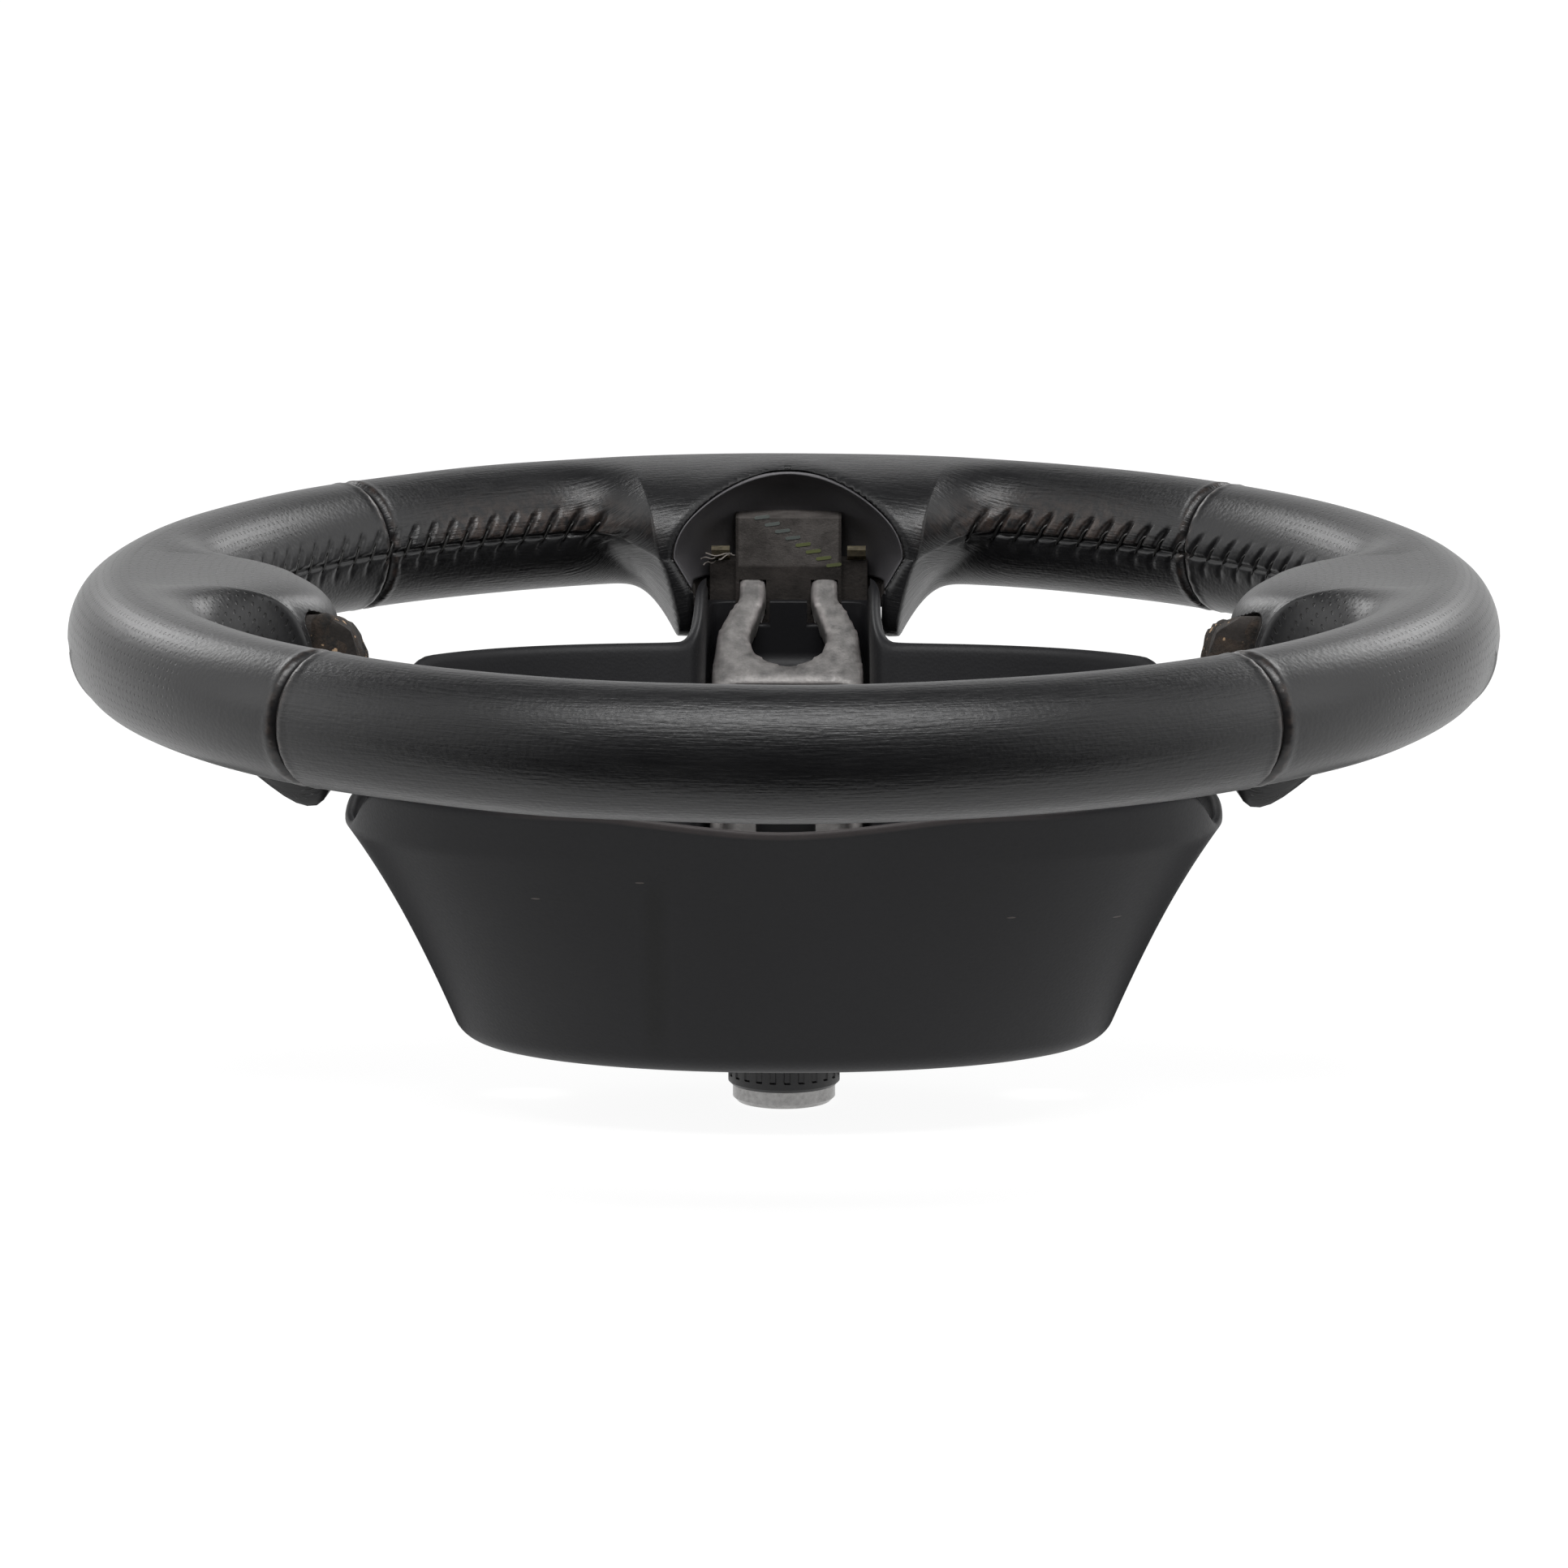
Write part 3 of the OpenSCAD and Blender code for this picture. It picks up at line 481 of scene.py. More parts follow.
def cover_plastic():
    """Grained plastic with a paler front lip, partly wear and partly painted highlight, a dark streak and a
    few small nicks at the front.
    """
    p = Paint("grained_plastic", COVER_DARK, 0.5)
    place = p.objects_place()
    x, y, z = p.axes(place)
    front = p.spread(y, -40.0, -30.0, 1.0, 0.0)
    from_streak = p.math("ABSOLUTE", p.math("SUBTRACT", x, STREAK_X))
    streak = p.times(p.spread(from_streak, 0.8, 4.5, 1.0, 0.0), p.spread(z, 76.0, 66.0),
                     p.spread(z, 18.0, 30.0), front, 0.8)
    colour = p.blend(p.noise(place, 0.02, 3.0), 0.35, 0.65, COVER_DARK, COVER_PALE)
    colour = p.mix(streak, colour, BLACK)
    for nick_x, nick_z in NICKS:
        across = p.times(p.math("SUBTRACT", x, nick_x), 0.75)
        up = p.times(p.math("SUBTRACT", z, nick_z), 3.6)
        off = p.math("ADD", p.times(across, across), p.times(up, up))
        colour = p.mix(p.times(p.spread(off, 0.5, 1.0, 0.7, 0.0), front), colour, NICK_COLOUR)
    patchy = p.spread(p.noise(place, 0.25, 4.0, 0.6), 0.3, 0.7, 0.75, 1.0)
    # The front lip is painted paler: wear, and a painted highlight where its bevel meets the light from
    # above.
    p.colour(p.mix(p.times(p.attribute("wear_and_highlight"), patchy), colour, COVER_WEAR_HIGHLIGHT))
    p.bump(p.cells(place, 1.1), 0.05, 0.5)
    p.rough(p.noise(place, 1.2, 2.0), 0.12, 0.46)
    p.fix("Specular IOR Level", 0.3)
    return p.material


def foam_paint():
    """Dark foam skin, paler on the bare face of the block in the recess."""
    p = Paint("foam", (0.04, 0.034, 0.03), 0.85)
    place = p.objects_place()
    blotch = p.noise(place, 0.12, 5.0, 0.65)
    x, y, z = p.axes(place)
    block = p.times(p.spread(p.math("ABSOLUTE", x), 13.4, 13.9, 1.0, 0.0),
                    p.spread(z, 116.4, 117.2), p.spread(y, 138.0, 140.0))
    skinned = p.blend(blotch, 0.35, 0.65, (0.018, 0.015, 0.013), (0.05, 0.042, 0.038))
    bare = p.blend(blotch, 0.35, 0.65, (0.06, 0.053, 0.049), (0.14, 0.127, 0.119))
    p.colour(p.mix(block, skinned, bare))
    p.bump(p.noise(place, 0.9, 4.0, 0.7), 0.5, 0.7)
    return p.material


def torn_foam():
    """Dark torn foam with glints of old glue and bare foam in it."""
    p = Paint("torn_foam", (0.02, 0.016, 0.013), 0.75)
    place = p.objects_place()
    blotch = p.noise(place, 0.22, 5.0, 0.7)
    colour = p.blend(blotch, 0.4, 0.6, (0.006, 0.005, 0.004), (0.05, 0.034, 0.024))
    glints = p.noise(p.objects_place((900.0, 900.0, 1300.0)), 0.42, 2.0)
    p.colour(p.blend(glints, 0.66, 0.7, colour, (0.62, 0.42, 0.26)))
    p.bump(p.noise(place, 0.7, 5.0, 0.75), 1.0, 0.9)
    return p.material


# Colour, roughness and the depth of turning marks
METALS = {
    "steel_tube": ((0.32, 0.32, 0.33), 0.4),
    "turned_steel": ((0.34, 0.335, 0.33), 0.3, 0.03),
    "screw_steel": ((0.36, 0.35, 0.34), 0.35),
    "post_steel": ((0.58, 0.57, 0.56), 0.28, 0.02),
    "spring_steel": ((0.45, 0.45, 0.46), 0.3),
    "brass": ((0.75, 0.66, 0.47), 0.5),
}
# Dark and pale colour, roughness, and the grain's cells per millimetre and depth
MOULDED = {
    "black_plastic": ((0.014, 0.014, 0.015), (0.02, 0.02, 0.022), 0.4, 2.0, 0.02),
    "cap_plastic": ((0.016, 0.016, 0.017), (0.024, 0.024, 0.026), 0.42, 2.0, 0.02),
    # The lining's colours are far paler than the leather it is: painted light for the shaded recess.
    "lining": ((0.085, 0.082, 0.088), (0.12, 0.116, 0.123), 0.5, 0.9, 0.04),
    "thread": ((0.006, 0.006, 0.006), (0.014, 0.013, 0.012), 0.4, 6.0, 0.03),
    "loose_thread": ((0.2, 0.18, 0.16), (0.42, 0.38, 0.35), 0.7, 6.0, 0.05),
    "marks_grey": ((0.13, 0.15, 0.14), (0.2, 0.22, 0.21), 0.6, 3.0, 0.02),
    "marks_green": ((0.14, 0.16, 0.07), (0.28, 0.31, 0.08), 0.6, 3.0, 0.02),
}
PAINTS = {name: plain_metal(name, *looks) for name, looks in METALS.items()}
PAINTS.update({name: moulded(name, *looks) for name, looks in MOULDED.items()})
PAINTS.update({"smooth_leather": leather("smooth_leather", False),
               "perforated_leather": leather("perforated_leather", True),
               "cast_alloy": cast_metal(), "grained_plastic": cover_plastic(),
               "foam": foam_paint(), "torn_foam": torn_foam()})
for row in frame["record"]["subparts"]:
    mesh = frame["nodes"][row["node"]].data
    mesh.materials.clear()
    mesh.materials.append(PAINTS[row["material_slot"]])


# The form of the rim


def from_place(theta, middle):
    """Degrees round the rim from a place, between -180 and 180."""
    return (theta - middle + 180) % 360 - 180


def lobe_angle(lobe, theta):
    """Degrees from a lobe's middle, the same way round on both sides of the wheel."""
    a = from_place(theta, lobe.turn)
    return -a if lobe.turn == 180.0 else a


def lobe_share(lobe, a, f, t):
    """How much of a lobe's reach there is at a degrees from its middle and f degrees round the grip."""
    low = ramp(f, 165, 60)
    half = lobe.half_up + (lobe.half_low - lobe.half_up) * low
    base = lobe.base_up + (lobe.base_low - lobe.base_up) * low
    b = np.abs(a) + np.degrees(t / (RING_R - lobe.reach))
    x = (b - half) / (base - half)
    fall = NOSE_FALL * (1 - 0.8 * low)
    corner = np.clip((lobe.half_up - a) / (2 * lobe.half_up), 0, 1)
    back = lobe.set_back * corner * (1 - ramp(f, 150, 75))
    flank = np.where(x >= 1, 0.0, (1 - fall) * np.clip(1 - x, 0, 1) ** 3)
    return np.where(x <= 0, 1 - fall * (b / half) ** 2, flank) * (1 - back)


def lobes_here(theta, f):
    """The shares of all lobes together."""
    return sum(lobe_share(lobe, lobe_angle(lobe, theta), f, 0.0) for lobe in LOBES)


def grip_section(f, t):
    f = np.radians(f)
    return (GRIP_W / 2 - t) * np.cos(f), (GRIP_H / 2 - t) * np.sin(f)


def lobe_section(lobe, f, t):
    """Radius and height of a lobe's section at its full reach: a blunt upper side and a dropped underside."""
    reach, top, low = lobe.reach - t, lobe.top - t, t - lobe.drop
    nose, blunt = lobe.nose, lobe.blunt
    c, s = np.cos(np.radians(f)), np.sin(np.radians(f))
    k = (f - 180) / 90
    x, z = grip_section(f, t)
    upper = (f > 90) & (f <= 180)
    x = np.where(upper, -reach * np.abs(c) ** blunt, x)
    z = np.where(upper, nose + (top - nose) * np.abs(s) ** blunt, z)
    under = (f > 180) & (f < 270)
    x = np.where(under, -reach * (1 - np.clip((k - 0.3) / 0.7, 0, 1) ** 1.6), x)
    rim_low = t - GRIP_H / 2
    dropping = nose + (low - nose) * smooth(k * 2)
    rising = low + (rim_low - low) * smooth(k * 2 - 1)
    return x, np.where(under, np.where(k < 0.5, dropping, rising), z)


def skin(theta, f, t):
    """Points of the rim's skin, t under the leather's face. theta and f are a column and a row."""
    grip_x, grip_z = grip_section(f, t)
    x, z = grip_x + 0 * theta, grip_z + 0 * theta
    for lobe in LOBES:
        share = lobe_share(lobe, lobe_angle(lobe, theta), f, t)
        lobe_x, lobe_z = lobe_section(lobe, f, t)
        x, z = x + (lobe_x - grip_x) * share, z + (lobe_z - grip_z) * share
    turn = np.radians(theta)
    r = RING_R + x
    return np.stack([r * np.cos(turn), r * np.sin(turn), RIM_Z + z + 0 * turn], -1)


def recess_outline():
    """The recess's arch seen along Y, as x and z about the rim's middle plane."""
    arch = [(LIP_HALF * math.cos(math.radians(a)), LIP_MIDDLE + LIP_RISE * math.sin(math.radians(a)))
            for a in range(0, 181, 5)]
    leg = LIP_MIDDLE - LIP_RISE / 2
    return [(RECESS_HALF, -PAST), (RECESS_HALF, leg)] + arch + [(-RECESS_HALF, leg), (-RECESS_HALF, -PAST)]


# The relief of the leather

SECTION_POINTS, SECTION_FOCUS, FOCUS_WIDTH = 112, 2.2, 28.0
PANEL_STEP = 0.2
INNER_STEP = 8
LACE_PITCH = 6.3
LACE_R = RING_R - GRIP_W / 2
LACE_SLANT = 0.09
PUCKER_PITCH = 4.2
GROOVE, WAVINESS, FOLD, MOUTH_ROUND = 1.15, 0.3, 0.45, 2.2
rng = np.random.default_rng(7)
WAVES = [(rng.uniform(-0.12, 0.12), rng.uniform(-0.1, 0.1), rng.uniform(0, 6.3)) for _ in range(14)]


def section_angles():
    """Angles round the grip, closer together at the lacing."""
    fine = np.linspace(0, 360, 3601)
    density = 1 + SECTION_FOCUS * bump_at(fine - 180, FOCUS_WIDTH)
    total = np.concatenate([[0], np.cumsum((density[1:] + density[:-1]) / 2)])
    return np.interp(np.linspace(0, total[-1], SECTION_POINTS, endpoint=False), total, fine)


SECTION = section_angles()


def round_length(points):
    """Length round the grip from f = 0 for each ring, with the closing step."""
    steps = np.linalg.norm(np.diff(np.concatenate([points, points[:, :1]], 1), axis=1), axis=2)
    return np.concatenate([np.zeros((len(points), 1)), np.cumsum(steps, 1)], 1)


def lacing(theta, v, here):
    """Height of the laced seam v above its line on the inner side: scallops above it, a groove, and shallow
    dents under it."""
    u = np.radians(theta) * LACE_R
    phase = (u / LACE_PITCH + LACE_SLANT * np.clip(v, -3, 9)) % 1.0
    slot = bump_at(phase - 0.5, 0.14)
    above = ramp(v, 0.2, 1.0) * (1 - ramp(v, 4.0, 4.0))
    below = ramp(-v, 0.4, 1.2) * (1 - ramp(-v, 2.5, 4.0))
    fade = (1 - ramp(here, 0.12, 0.3)) * (1 - 0.45 * ramp(np.abs(theta - 90), 40, 4))
    height = -GROOVE * bump_at(v, 0.6) - slot * (1.25 * above + 0.55 * below)
    height += (1 - slot) * (0.55 * above + 0.12 * below)
    return height * fade, (1 - slot) * above * fade


def cross_seams(theta, v):
    """Height of the sewn joints across the grip, and the wear and painted highlight on the leather beside
    them.
    """
    height, wear_and_highlight = 0 * theta * v, 0 * theta * v
    for number, seam in enumerate(SEAMS):
        s = np.radians(from_place(theta, seam)) * RING_R
        pucker = 0.5 + 0.5 * np.cos(2 * math.pi * v / PUCKER_PITCH + number)
        height = height - GROOVE * bump_at(s, 0.9) + 0.24 * bump_at(np.abs(s) - 2.3, 1.1)
        height = height - 0.18 * bump_at(np.abs(s) - 1.9, 0.9) * pucker
        # Wear and painted highlight on the puckered ridges beside each seam.
        wear_and_highlight = wear_and_highlight + 0.7 * bump_at(np.abs(s) - 1.7, 0.8) * (0.3 + 0.7 * pucker)
    return height, wear_and_highlight


def distance_to(line, x, z):
    """Distance from points to a line of straight steps."""
    best = np.full(x.shape, 1e9)
    for (ax, az), (bx, bz) in zip(line[:-1], line[1:]):
        dx, dz = bx - ax, bz - az
        k = np.clip(((x - ax) * dx + (z - az) * dz) / (dx * dx + dz * dz), 0, 1)
        best = np.minimum(best, np.hypot(x - ax - k * dx, z - az - k * dz))
    return best


def rounded(distance, radius):
    """How far a face drops towards an edge that is rounded off."""
    d = np.clip(distance, 0, radius)
    return radius - np.sqrt(radius**2 - (radius - d) ** 2)


def relief(theta, f, points, v, here):
    """Height of everything that stands out of or sinks into the leather, and where it has wear and painted
    sheen.
    """
    laced, lumps = lacing(theta, v, here)
    seams, wear_and_highlight = cross_seams(theta, v)
    u = np.radians(theta) * RING_R
    waves = sum(np.sin(a * u + b * v + c) for a, b, c in WAVES) / len(WAVES)
    height = laced + seams + WAVINESS * waves
    from_six = np.abs(theta - 90)
    # Painted sheen: near 6 o'clock the tops of the lacing's scallops and a band above them get the brown of
    # wear for their shine.
    shiny = ramp(from_six, 13, 4) * (1 - ramp(from_six, 33, 8))
    wear_and_highlight = np.clip(wear_and_highlight, 0, 1) + shiny * (0.75 * lumps + 0.35 * bump_at(v - 8, 4))
    by_collar = (from_six < 26) & (points[..., 1] < RECESS_BACK)
    near = distance_to(recess_outline(), points[..., 0], points[..., 2] - RIM_Z)
    height = height - np.where(by_collar, rounded(near, MOUTH_ROUND), 0.0)
    for lobe in RESTS:
        a = lobe_angle(lobe, theta)
        fold = np.radians(np.abs(a) - lobe.half_up) * (RING_R - lobe.reach * (1 - NOSE_FALL))
        height = height + FOLD * bump_at(fold, 1.1) * ramp(here, 0.35, 0.3) * ramp(f, 122, 22)
    return height, np.clip(wear_and_highlight, 0, 1)


def perforated(theta, f, v, here):
    """Where the leather has holes: round the thumb rests, but not on the stubs' ends or at the lacing."""
    holes = 1 - (1 - ramp(np.abs(v), 8, 2)) * (here < 0.3)
    a = np.minimum(*[np.abs(from_place(theta, lobe.turn)) for lobe in RESTS])
    holes = holes * (1 - ramp(a, 28, 8))
    holes = holes * (1 - (a < RESTS[0].half_up - 0.3) * (here > 0.3) * ramp(f, 128, 6))
    for seam in SEAMS:
        holes = holes * ramp(np.abs(np.radians(from_place(theta, seam)) * RING_R), 4.5, 1)
    return holes


# The leather panels


def deepest(height):
    """How deep the face lies at or near each point, so that the wall's back can stay behind it."""
    m = len(height)
    padded = np.pad(np.maximum(-height, 0), ((INNER_STEP, INNER_STEP), (0, 0)))
    deep = np.max([padded[k:k + m] for k in range(2 * INNER_STEP + 1)], axis=0)
    return np.max([np.roll(deep, k, 1) for k in range(-3, 4)], axis=0)


def panel_angles(start, end):
    """A panel's places round the rim, some of them moved on to the lobes' creases."""
    gap = math.degrees(SEAM_GAP / 2 / RING_R)
    theta = np.linspace(start + gap, end - gap, int((end - start) / PANEL_STEP))
    for lobe in LOBES:
        for side in (-1, 1):
            crease = lobe.turn + side * lobe.half_up
            nearest = np.argmin(np.abs(theta - crease))
            if abs(theta[nearest] - crease) < PANEL_STEP:
                theta[nearest] = crease
    return theta[:, None]


def wall_faces(m, inner_m, n):
    """Faces of a wall of m outer and inner_m inner rings of n points, closed along both ends."""
    start_in = m * n
    last_out, last_in = (m - 1) * n, start_in + (inner_m - 1) * n
    j = np.arange(n)
    k = (j + 1) % n
    return np.vstack([
        grid_faces(m, n),
        grid_faces(inner_m, n, start_in, flip=True),
        np.stack([j, k, start_in + k, start_in + j], 1),
        np.stack([last_out + k, last_out + j, last_in + j, last_in + k], 1)])


def add_grip_lengths(piece, theta, length, face_count):
    """The lengths along and round the grip as a UV layer; the faces behind the outer ones have none."""
    m, n = len(theta), length.shape[1] - 1
    corners = np.zeros((face_count, 4, 2))
    i, j = np.divmod(np.arange((m - 1) * n), n)
    for corner, (di, dj) in enumerate(((0, 0), (1, 0), (1, 1), (0, 1))):
        corners[:len(i), corner, 0] = np.radians(theta[i + di, 0]) * RING_R
        corners[:len(i), corner, 1] = length[i + di, j + dj]
    layer = piece.data.uv_layers.new(name="grip")
    layer.data.foreach_set("uv", (corners * MM).ravel())


def add_attribute(piece, name, values):
    """A number for each point, from an array that may stop before the last points."""
    padded = np.zeros(len(piece.data.vertices))
    padded[:values.size] = values.ravel()
    layer = piece.data.attributes.new(name, "FLOAT", "POINT")
    layer.data.foreach_set("value", padded)


def leather_panel(name, start, end, paint):
    """One leather panel as a closed wall, its face in full relief."""
    theta = panel_angles(start, end)
    f = SECTION[None, :]
    base = skin(theta, f, 0.0)
    m, n = base.shape[:2]
    length = round_length(base)
    middle = np.array([np.interp(180.0, SECTION, row[:-1]) for row in length])[:, None]
    v = middle - length[:, :-1]
    here = lobes_here(theta, f)
    normal = np.cross(np.gradient(base, axis=0), np.roll(base, -1, 1) - np.roll(base, 1, 1))
    normal /= np.maximum(np.linalg.norm(normal, axis=2), 1e-9)[..., None]
    height, wear_and_highlight = relief(theta, f, base, v, here)
    outer = base + normal * height[..., None]
    pick = np.unique(np.concatenate([np.arange(0, m, INNER_STEP), [m - 1]]))
    inner = skin(theta[pick], f, LEATHER_T + deepest(height)[pick])
    faces = wall_faces(m, len(pick), n)
    points = np.vstack([outer.reshape(-1, 3), inner.reshape(-1, 3)])
    piece = put(name + "_skin", points, faces, paint, paint)
    add_grip_lengths(piece, theta, length, len(faces))
    add_attribute(piece, "wear_and_highlight", wear_and_highlight)
    has_holes = paint == "perforated_leather"
    add_attribute(piece, "holes", perforated(theta, f, v, here) if has_holes else 0 * wear_and_highlight)
    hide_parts(name)
    return piece


# A stub's arched opening, which stands STUB_LIP above the stub's foot
ARCH_HALF, ARCH_TOP, ARCH_FALL, ARCH_CORNER = 16.5, 7.0, 10.0, 4.0
STUB_LIP = 6.0
ARCH_FOOT = STUB_LIP - RESTS[0].drop
ARCH_BEFORE, ARCH_BEHIND = 20, 16


def arch_outline():
    """The opening as y and z about the rim's middle plane."""
    left = np.array([ARCH_CORNER - ARCH_HALF, ARCH_TOP - ARCH_CORNER])
    right = np.array([ARCH_HALF - ARCH_CORNER, ARCH_TOP - ARCH_FALL - ARCH_CORNER])
    tilt = math.pi / 2 + math.atan2(right[1] - left[1], right[0] - left[0])
    bends = [(left, k) for k in np.linspace(math.pi, tilt, 9)]
    bends += [(right, k) for k in np.linspace(tilt, 0, 9)]
    arch = [middle + ARCH_CORNER * np.array([math.cos(k), math.sin(k)]) for middle, k in bends]
    return [(-ARCH_HALF, ARCH_FOOT)] + [tuple(point) for point in arch] + [(ARCH_HALF, ARCH_FOOT)]


def arch_cutter(side):
    near, far = [[(side * x, y, RIM_Z + z) for y, z in arch_outline()]
                 for x in (SIDE_END - ARCH_BEFORE, SIDE_END + ARCH_BEHIND)]
    return cutter(*prism(near, far, flip=side > 0))


def recess_cutter():
    """The recess as a solid: its arch seen along Y, with a round back seen from above."""
    bends = {round(LIP_HALF * 0.9999 * math.sin(math.radians(a)), 4) for a in range(-90, 91, 3)}
    steps = {side * (RECESS_HALF + more) for side in (-1, 1) for more in (0, 0.01)}
    rings = []
    for x in sorted(bends | steps):
        top = LIP_MIDDLE + LIP_RISE * math.sqrt(max(0.0, 1 - (x / LIP_HALF) ** 2))
        slant = LIP_RISE / 2 * (LIP_HALF - abs(x)) / (LIP_HALF - RECESS_HALF)
        bottom = -PAST if abs(x) <= RECESS_HALF else LIP_MIDDLE - slant - 0.02
        back = RECESS_BACK - BACK_R + math.sqrt(BACK_R**2 - x * x)
        ring = ((back - PAST, top), (back, top), (back, bottom), (back - PAST, bottom))
        rings.append([(x, y, RIM_Z + z) for y, z in ring])
    m = len(rings)
    return cutter(np.array(rings), grid_faces(m, 4).tolist() + end_faces(m, 4))


PANELS = {
    "leather_right": (SEAMS[0], SEAMS[1], "perforated_leather"),
    "leather_bottom": (SEAMS[1], SEAMS[2], "smooth_leather"),
    "leather_left": (SEAMS[2], SEAMS[3], "perforated_leather"),
    "leather_top": (SEAMS[3], SEAMS[0] + 360, "smooth_leather"),
}
panels = {name: leather_panel(name, *row) for name, row in PANELS.items()}
cut(panels["leather_right"], arch_cutter(1))
cut(panels["leather_left"], arch_cutter(-1))
cut(panels["leather_bottom"], recess_cutter())

# What lies in the recess: its lining, the marks on the foam block and a few loose threads

LINING_FOOT, LINING_IN, LINING_T, LINING_SHRINK, LINING_ROUND = -13.5, 0.5, 0.4, 0.985, 5.0
LIP_DEPTH = 1.4
MARK_RING = ((-2.1, -0.2), (-1.7, -0.45), (1.7, -0.45), (2.1, -0.2),
             (2.1, 0.2), (1.7, 0.45), (-1.7, 0.45), (-2.1, 0.2))
MARK_START, MARK_STEP, MARK_TILT = (-7.2, 4.3), (2.8, -1.88), math.radians(7)
MARKS_EACH = 4
MARK_IN, MARK_OUT = -0.2, 0.12
LOOSE_THREADS = ((-23.8, 119.0, 4.6, 0.8), (-22.6, 120.4, 7.2, -0.3),
                 (-19.0, 119.2, 4.4, 1.0), (-23.2, 117.4, 3.4, 0.9))


def lining_line():
    """The recess's arch above the lining's foot, a little inside the cut, as arrays of x and z."""
    line = np.array(recess_outline())
    steps = np.concatenate([[0], np.cumsum(np.hypot(*np.diff(line, axis=0).T))])
    dense = np.linspace(0, steps[-1], 241)
    line = np.stack([np.interp(dense, steps, line[:, 0]), np.interp(dense, steps, line[:, 1])], 1)
    line = line[line[:, 1] > LINING_FOOT] * [LINING_SHRINK, 1]
    line[:, 1] -= LINING_IN * smooth(line[:, 1] / 10)
    return line.T


def face_y(x, z):
    """How far out the leather's face is where it passes each x and z."""
    theta = np.linspace(90 - 18, 90 + 18, 260)[:, None]
    f = np.linspace(92, 262, 260)[None, :]
    face = skin(theta, f, 0.0).reshape(-1, 3)
    off = [(face[:, 0] - a) ** 2 + (face[:, 2] - b) ** 2 for a, b in zip(x, z)]
    return np.array([face[np.argmin(each), 1] for each in off])


def lining_back(x):
    """The lining's round back, seen from above."""
    held = np.clip(x, 0.5 - BACK_R, BACK_R - 0.5)
    return RECESS_BACK - LINING_IN - BACK_R + np.sqrt(BACK_R**2 - held**2)


def recess_lining():
    """Thin leather turned in over the recess's mouth, along its arch and over its round back, painted far
    paler than the leather as painted light in the shaded recess.
    """
    line_x, line_z = lining_line()
    front = face_y(line_x, RIM_Z + line_z) + LIP_DEPTH
    depth = lining_back(line_x) - LINING_ROUND - front
    layers = [(1.0, front + depth * k) for k in np.linspace(0, 1, 10)[:-1]]
    for k in np.linspace(0, math.pi / 2, 9):
        scale = 1 - LINING_ROUND * (1 - math.cos(k)) / LIP_HALF
        layers.append((scale, lining_back(line_x * scale) - LINING_ROUND * (1 - math.sin(k))))
    layers += [(scale, lining_back(line_x * scale))
               for scale in np.linspace(1 - LINING_ROUND / LIP_HALF, 0.03, 16)[1:]]
    foot = LINING_FOOT
    rings = [np.stack([line_x * scale, y, RIM_Z + foot + (line_z - foot) * scale], 1) for scale, y in layers]
    faces = grid_faces(len(rings), len(line_x), closed=False)
    piece = put("recess_lining", np.vstack(rings), faces, "lining", "smooth_leather")
    modify(piece, "SOLIDIFY", thickness=LINING_T * MM, offset=0)
    applied(piece)


def block_marks():
    """Short plain dashes, stepping down to the right across the foam block's face."""
    c, s = math.cos(MARK_TILT), math.sin(MARK_TILT)
    for number, name in enumerate(("marks_grey", "marks_green")):
        parts = []
        for k in range(MARKS_EACH * number, MARKS_EACH * (number + 1)):
            x = MARK_START[0] + MARK_STEP[0] * k
            z = RIM_Z + MARK_START[1] + MARK_STEP[1] * k
            near, far = [[(x + u * c - w * s, BLOCK_Y - out, z + u * s + w * c) for u, w in MARK_RING]
                         for out in (MARK_IN, MARK_OUT)]
            parts.append(prism(near, far))
        put(name, *joined(parts), name, "foam", flat=True)


def loose_threads():
    """A few frayed ends of pale thread beside the foam block's left shoulder."""
    parts = []
    k = np.linspace(0, 1, 14)
    for number, (x, z, length, rise) in enumerate(LOOSE_THREADS):
        y = BLOCK_Y - 1.2 - 0.9 * np.sin(3 * k + number)
        path = np.stack([x + length * k, y, z + rise * k + 0.35 * np.sin(7 * k + 2 * number)], 1)
        parts.append(tube(path, 0.22 - 0.1 * k, 6))
    put("loose_threads", *joined(parts), "loose_thread", "foam")


# Thread of the lacing: a stitch as places above the lacing's line and heights over the skin

STITCH = ((3.4, -1.9), (3.0, -0.5), (2.0, -0.35), (0.8, -0.45), (-0.6, -0.35), (-1.6, -0.4), (-2.0, -1.9))
THREAD_R = 0.42


def on_skin(theta, v, height):
    """A point near the inner side of the grip, v above the lacing and height over the skin."""
    f = 180 - math.degrees(v / (GRIP_H / 2))
    step = 0.5
    here, east, west, up, down = [
        skin(np.array([[theta + a]]), np.array([[f + b]]), 0.0)[0, 0]
        for a, b in ((0, 0), (step, 0), (-step, 0), (0, step), (0, -step))]
    normal = np.cross(east - west, up - down)
    return here + normal / np.linalg.norm(normal) * height


def lacing_thread():
    """A slanting stitch in each slot of the laced seam, where the grip is plain."""
    parts = []
    pitch = math.degrees(LACE_PITCH / LACE_R)
    for k in range(int(360 / pitch)):
        theta = (k + 0.5) * pitch
        here = float(lobes_here(np.array([[theta]]), np.array([[180.0]]))[0, 0])
        if here > 0.15:
            continue
        path = [on_skin(theta - LACE_SLANT * pitch * v, v, height) for v, height in STITCH]
        parts.append(tube(path, THREAD_R, 6))
    put("lacing_thread", *joined(parts), "thread", "smooth_leather")


# The back cover; W and L are widths along X and Y, and edge heights are measured down from RIM_Z

